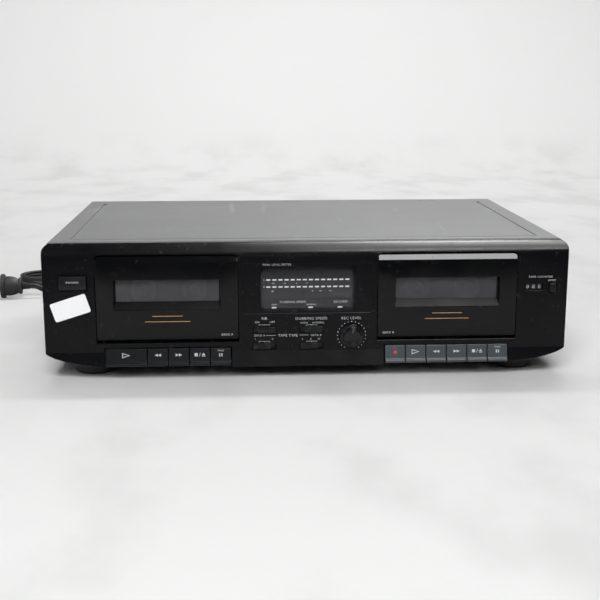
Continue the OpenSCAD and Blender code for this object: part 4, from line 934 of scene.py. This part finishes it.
class DECK_OT_controls(bpy.types.Operator):
    """Power button, slide switches, level knob and reset button"""

    bl_idname = "deck.controls"
    bl_label = "Controls"

    def execute(self, context):
        for node in ("power_button", "reset_button", *SWITCHES):
            cap = rounded_copy(node, 0.25 * MM)
            piece(node + "_cap", cap, node, "control", (node,))
        self.knob()
        at = middle("power_button")
        mark = Print(forward_axis((at.x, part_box("power_button")[0].y, at.z)))
        mark.word("POWER", 0, 0.6, sizes().small_h, wide=1.15, space=1.15)
        mark.done("power_mark", "power_button", "white")
        return {"FINISHED"}

    def knob(self):
        """Turned knob with a fluted cap, a dished face and a pointer line."""
        low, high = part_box("level_knob")
        at = middle("level_knob")
        proud = (FACE_Y - low.y) / MM
        back = (FACE_Y - high.y) / MM
        profile = [
            (0.0, back), (3.0, back), (3.0, 0.7), (9.6, 0.6), (10.0, 0.9), (10.0, 2.8), (9.6, 3.6),
            (8.8, 3.9), (7.95, 4.0), (7.85, 4.4), (7.75, 6.4), (7.65, 8.4), (7.5, 10.0), (7.2, 10.7),
            (6.6, proud), (6.0, proud - 0.1), (5.4, proud - 0.4), (0.0, proud - 0.5),
        ]
        flutes = 36
        cap = turned(profile, 2 * flutes)
        for v in cap.verts:
            if 7.4 * MM < math.hypot(v.co.x, v.co.y) < 7.9 * MM:
                turn = math.atan2(v.co.y, v.co.x)
                v.co.xy *= 1 - 0.02 * (0.5 + 0.5 * math.cos(flutes * turn))
        bm = bmesh.new()
        join(bm, cap, forward_axis((at.x, FACE_Y, at.z)))
        piece("level_knob_cap", bm, "level_knob", "control", ("level_knob",), 40.0)
        mark = Print(forward_axis((at.x, low.y + 0.12 * MM, at.z)))
        mark.bar(0, 5.6, 0.6, 2.4)
        mark.done("knob_mark", "level_knob", "grey")


# Meter


class DECK_OT_meter(bpy.types.Operator):
    """Level meter: lens, mask, bars and scale"""

    bl_idname = "deck.meter"
    bl_label = "Meter"

    # Millimetres: the window's lip and its height inside the lip, and the bars of a row
    lip = 1.85
    window_h = 37.0
    row_shares = (0.51, 0.67)
    bars = 14
    bar_pitch = 5.0
    bar_w = 3.3
    bar_h = 1.1

    def execute(self, context):
        dress("meter_window", "lens")
        dress("meter_display", "display")
        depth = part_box("meter_display")[0].y - FACE_Y
        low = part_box("meter_window")[0].z / MM + self.lip
        rows = [low + share * self.window_h for share in self.row_shares]
        white = face_print(depth)
        for z in rows:
            for i in range(self.bars):
                white.bar((i - (self.bars - 1) / 2) * self.bar_pitch, z, self.bar_w, self.bar_h)
        for x in (-27.8, 2.3, 26.7):
            white.bar(x, low + 1.5, 3.8, 1.2)
        white.done("meter_bars", "case", "diffuser", "display_black")
        mask = depth + 0.5 * MM
        scale = face_print(mask)
        for name, z in zip("RL", rows):
            scale.word(name, -36.0, z, 0.0014)
        between = sum(rows) / 2
        for text, x in (("20", -28.6), ("10", -19.4), ("6", -9.5), ("3", -1.0)):
            scale.word("-" + text, x, between, 0.0013)
        for text, x in (("dB", -29.2), ("0", 4.0), ("+3", 10.4), ("+6", 18.6)):
            scale.word(text, x, rows[0] - 3.6, 0.0014)
        strip = low + 8.4
        for text, x, z in (("DUBBING SPEED", -12.3, 2.3), ("RECORD", 27.2, 2.5)):
            scale.word(text, x, strip - z, 0.0017, wide=1.1, space=1.1)
        for text, x, z, wide in (("HIGH", -27.6, 4.5, 1.1), ("NORMAL", 2.9, 4.6, 1.2)):
            scale.word(text, x, strip - z, 0.0012, wide=wide)
        scale.done("meter_scale", "case", "white")
        lines = face_print(mask)
        lines.bar(0, strip, 77.0, 0.5)
        lines.bar(14.2, strip - 4.8, 0.5, 9.0)
        lines.done("meter_dividers", "case", "black")
        return {"FINISHED"}


# Counter


class DECK_OT_counter(bpy.types.Operator):
    """Tape counter: number wheels with their digits"""

    bl_idname = "deck.counter"
    bl_label = "Counter"

    def execute(self, context):
        dress("counter_frame", "inner")
        for name in WHEELS:
            node = "counter_wheel_" + name
            dress(node, "inner")
            self.digits(node)
        return {"FINISHED"}

    def digits(self, node):
        """Ten digits bent round a wheel, with zero at the front."""
        low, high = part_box(node)
        at = middle(node)
        r = (high.z - low.z) / 2
        mark = Print(Matrix.Identity(4))
        for digit in range(10):
            start = len(mark.bm.verts)
            mark.word(str(digit), 0, 0, 0.0031, bold=0.00008)
            mark.bm.verts.ensure_lookup_table()
            for v in mark.bm.verts[start:]:
                turn = v.co.y / r - math.radians(36.0 * digit)
                reach = r + v.co.z
                v.co = (at.x + v.co.x, at.y - reach * math.cos(turn), at.z + reach * math.sin(turn))
        mark.done("digits_" + node, node, "white")


# Prints on the panel


class DECK_OT_legends(bpy.types.Operator):
    """Legends printed on the front panel"""

    bl_idname = "deck.legends"
    bl_label = "Legends"

    # Metres: how much thinner than the font the strokes are, in a legend and in a small one
    thin = -0.00003
    small_thin = -0.00002
    # Millimetres: radius of the ring of dots round the level knob
    dial_r = 11.7

    def execute(self, context):
        large = {"height": sizes().legend_h, "bold": self.thin}
        small = {"height": sizes().small_h, "bold": self.small_thin}
        ink = face_print()
        for text, x, z in (
            ("NR", -36.0, 50.7), ("DUBBING SPEED", 2.6, 50.3), ("REC LEVEL", 35.6, 50.2),
        ):
            ink.word(text, x, z, **large, wide=1.04, space=1.1)
        for text, x, z in (
            ("ON", -42.0, 47.6), ("OFF", -29.6, 47.6), ("HIGH", -3.4, 46.7), ("NORMAL", 8.4, 46.7),
            ("DECK A", -40.0, 36.4), ("DECK B", 6.6, 36.1), ("I", -43.6, 33.3), ("II", -29.4, 33.3),
            ("I", -4.6, 32.8), ("II", 2.2, 32.8), ("IV", 9.0, 32.8),
        ):
            ink.word(text, x, z, **small, wide=1.02, space=1.08)
        ink.word("TAPE TYPE", -16.8, 36.2, **large, space=1.08)
        for x, w in ((-30.6, 8.0), (-3.4, 7.0)):
            ink.bar(x, 36.3, w, 0.22)
        for x, z in ((-36.2, 45.3), (2.8, 44.9), (-36.2, 31.3), (2.8, 31.0)):
            ink.bar(x, z, 9.0, 0.22)
            for side in (-1, 0, 1):
                ink.bar(x + side * 4.4, z - 0.35, 0.22, 0.7)
        ink.word("TAPE COUNTER", 192.2, 83.2, **small, wide=1.1, space=1.12)
        ink.word("RESET", 201.8, 80.1, 0.0013, wide=1.2, space=1.1)
        self.dial(ink)
        ink.done("panel_legends", "case", "white")
        surround = face_print(0.6 * MM)
        surround.word("PEAK LEVEL METER", -25.4, 95.4, **small, wide=1.06, space=1.14)
        surround.done("meter_legend", "case", "white")
        return {"FINISHED"}

    def dial(self, ink):
        """Dots round the level knob, with a larger one at every fifth place."""
        at = middle("level_knob")
        count = 21
        for i in range(count):
            turn = math.radians(240 - 300 * i / (count - 1))
            x = at.x / MM + self.dial_r * math.cos(turn)
            z = at.z / MM + self.dial_r * math.sin(turn)
            ink.disc(x, z, 0.36 if i % 5 else 0.46, 10)


# Transports and insides


class DECK_OT_transports(bpy.types.Operator):
    """Tape transports, drive, boards and mains supply"""

    bl_idname = "deck.transports"
    bl_label = "Transports"

    def execute(self, context):
        for deck in DECKS:
            for part, finish in (
                ("transport_frame", "transport"), ("supply_reel", "reel"), ("takeup_reel", "reel"),
                ("flywheel", "flywheel"), ("head_carriage", "carriage"), ("pinch_roller", "rubber"),
            ):
                dress(f"{part}_{deck}", finish)
        for part, finish in (
            ("drive_motor", "steel"), ("motor_pulley", "brass"), ("drive_belt", "rubber"),
            ("control_board", "board"), ("main_board", "board"), ("power_supply", "supply"),
        ):
            dress(part, finish)
        return {"FINISHED"}


class DECK_OT_rear(bpy.types.Operator):
    """Line jacks in the rear wall"""

    bl_idname = "deck.rear"
    bl_label = "Rear"

    def execute(self, context):
        low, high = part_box("line_jacks")
        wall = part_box("base_chassis")[1].y
        mid = middle("line_jacks")
        # Half of the jacks' pitch, and the wall's inner face
        half = 8.0 * MM
        inside = wall - 1.05 * MM
        bm = bmesh.new()
        proud = (high.y - inside) / MM
        shell = [
            (0.0, 0.0), (4.7, 0.0), (4.7, 2.2), (4.15, 2.3), (4.15, 0.92 * proud), (3.9, proud),
            (3.5, proud), (3.35, 0.96 * proud), (3.35, 2.0), (0.0, 2.0),
        ]
        core = [
            (1.65, 2.4), (1.65, 0.97 * proud), (1.9, proud), (3.1, proud), (3.3, 0.98 * proud),
            (3.3, 2.4), (1.65, 2.4),
        ]
        for x in (-half, half):
            for z in (-half, half):
                at = Vector((mid.x + x, inside, mid.z + z))
                first = (at.x - half, low.y, at.z - half)
                last = (at.x + half, inside, at.z + half)
                join(bm, block(first, last, 0.6 * MM), Matrix.Identity(4))
                join(bm, turned(shell, 32), rear_axis(at), 1)
                join(bm, turned(core, 24), rear_axis(at), 2 if z > 0 else 3)
        finishes = ("inner", "nickel", "insulator_white", "insulator_red")
        piece("jack_set", bm, "case", finishes, ("line_jacks",))
        return {"FINISHED"}


# Stage


class DECK_OT_stage(bpy.types.Operator):
    """Camera, pale sweep and soft studio light"""

    bl_idname = "deck.stage"
    bl_label = "Stage"

    def execute(self, context):
        self.camera(context)
        self.sweep()
        front = FACE_Y
        # Softboxes light the object and leave no reflection; cards show only in reflections
        for row in (
            ("top_softbox", (-0.1, 0.9, 2.3), (-0.1, 0.9, 0.0), (2.6, 1.4), 9.5),
            ("wall_softbox", (0.2, 1.0, 2.4), (0.2, 2.2, 0.7), (2.4, 0.5), 48.0),
            ("fill_softbox", (-0.35, front - 2.0, 1.5), (0.0, front, 0.06), (1.5, 1.0), 27.0),
            ("key_softbox", (-0.15, front - 1.07, 1.17), (-0.05, front, 0.1), (0.7, 0.42), 13.0),
        ):
            self.lamp(*row, mirrored=False)
        for row in (
            ("key_card", (0.39, front - 1.03, 1.18), (0.115, front, 0.1), (0.56, 0.42), 16.6),
            ("front_card", (0.45, front - 0.56, 1.5), (0.45, front - 0.56, 0.0), (0.8, 0.76), 21.6),
            ("over_card", (0.48, front + 0.75, 1.5), (0.48, front + 0.75, 0.0), (0.46, 1.86), 54.5),
            ("side_card", (0.12, front + 0.75, 1.5), (0.12, front + 0.75, 0.0), (0.26, 1.86), 11.4),
            ("low_card", (0.12, front - 2.0, 0.40), (0.0, front, 0.02), (0.75, 0.36), 1.4),
            ("left_card", (-1.2, front - 0.5, 0.7), (-0.1, front, 0.06), (0.8, 0.8), 16.0),
        ):
            self.lamp(*row, lit=False)
        self.world(context)
        context.scene.view_settings.view_transform = "Standard"
        return {"FINISHED"}

    def camera(self, context):
        data = bpy.data.cameras.new("camera")
        data.sensor_width = 36.0
        data.lens = 64.2
        camera = placed("camera", data)
        camera.location = (-0.0526, FACE_Y - 0.8547, 0.2539)
        camera.rotation_euler = (math.radians(77.61), 0.0, math.radians(-3.07))
        context.scene.camera = camera

    def world(self, context):
        """White where the camera sees past the sweep, and dim as a source of light."""
        world = bpy.data.worlds.new("studio")
        world.use_nodes = True
        tree = world.node_tree
        background = tree.nodes["Background"]
        background.inputs["Color"].default_value = (0.97, 0.985, 1.0, 1.0)
        path = tree.nodes.new("ShaderNodeLightPath")
        level = tree.nodes.new("ShaderNodeMapRange")
        level.inputs["To Min"].default_value = 0.06
        level.inputs["To Max"].default_value = 0.80
        tree.links.new(path.outputs["Is Camera Ray"], level.inputs["Value"])
        tree.links.new(level.outputs["Result"], background.inputs["Strength"])
        context.scene.world = world

    def sweep(self):
        """One sheet: floor, round corner and wall."""
        bm = bmesh.new()
        front, back, bend, top, half = FACE_Y - 0.412, 1.5, 0.7, 1.3, 4.0
        points = [(front, 0.0), (back, 0.0)]
        for degrees in range(6, 91, 6):
            turn = math.radians(degrees)
            points.append((back + bend * math.sin(turn), bend - bend * math.cos(turn)))
        points.append((back + bend, top))
        verts = [bm.verts.new((-half, y, z)) for y, z in points]
        edges = [bm.edges.new(pair) for pair in zip(verts, verts[1:])]
        draw_out(bm, bmesh.ops.extrude_edge_only(bm, edges=edges), (2 * half, 0, 0))
        bmesh.ops.recalc_face_normals(bm, faces=bm.faces)
        mesh = bpy.data.meshes.new("sweep")
        bm.to_mesh(mesh)
        bm.free()
        mesh.shade_smooth()
        finish = Finish("sweep_paper", {"Specular IOR Level": 0.2})
        height = finish.node("ShaderNodeSeparateXYZ", None, {0: finish.point()}, out="Z")
        worn = finish.noise(9.0, 6.0, (1.0, 0.6, 1.0)).step(0.42, 0.70) * (1.0 - height.step(0.0, 0.1))
        cloud = finish.noise(1.2, 2.0) * 0.3 + (1.0 - worn) * 0.7
        shade = finish.mix(cloud, (0.62, 0.62, 0.617), (0.75, 0.75, 0.747))
        mesh.materials.append(finish.done(shade, 0.8))
        placed("sweep", mesh)

    def lamp(self, name, place, aim, size, power, mirrored=True, lit=True):
        """An area light that faces its aim."""
        data = bpy.data.lights.new(name, "AREA")
        data.shape = "RECTANGLE"
        data.size, data.size_y = size
        data.energy = power
        lamp = placed(name, data)
        lamp.location = place
        lamp.visible_glossy = mirrored
        lamp.visible_diffuse = lit
        lamp.rotation_euler = (Vector(aim) - Vector(place)).to_track_quat("-Z", "Y").to_euler()


# Add-on

OPERATORS = (
    DECK_OT_stage, DECK_OT_mains_lead, DECK_OT_case, DECK_OT_doors, DECK_OT_keys, DECK_OT_controls,
    DECK_OT_meter, DECK_OT_counter, DECK_OT_legends, DECK_OT_transports, DECK_OT_rear,
)


class DECK_PT_panel(bpy.types.Panel):
    """Lists the deck's operators"""

    bl_idname = "DECK_PT_panel"
    bl_label = "Double cassette deck"
    bl_space_type = "VIEW_3D"
    bl_region_type = "UI"
    bl_category = "Deck"

    def draw(self, context):
        for operator in OPERATORS:
            self.layout.operator(operator.bl_idname)


CLASSES = (DeckColours, DeckSizes, *OPERATORS, DECK_PT_panel)


def register():
    for each in CLASSES:
        bpy.utils.register_class(each)
    bpy.types.Scene.deck_colours = PointerProperty(type=DeckColours)
    bpy.types.Scene.deck_sizes = PointerProperty(type=DeckSizes)


def unregister():
    del bpy.types.Scene.deck_sizes
    del bpy.types.Scene.deck_colours
    for each in reversed(CLASSES):
        bpy.utils.unregister_class(each)


def main():
    register()
    for operator in OPERATORS:
        group, name = operator.bl_idname.split(".")
        getattr(getattr(bpy.ops, group), name)()
    bpy.context.view_layer.update()


if __name__ == "__main__":
    main()
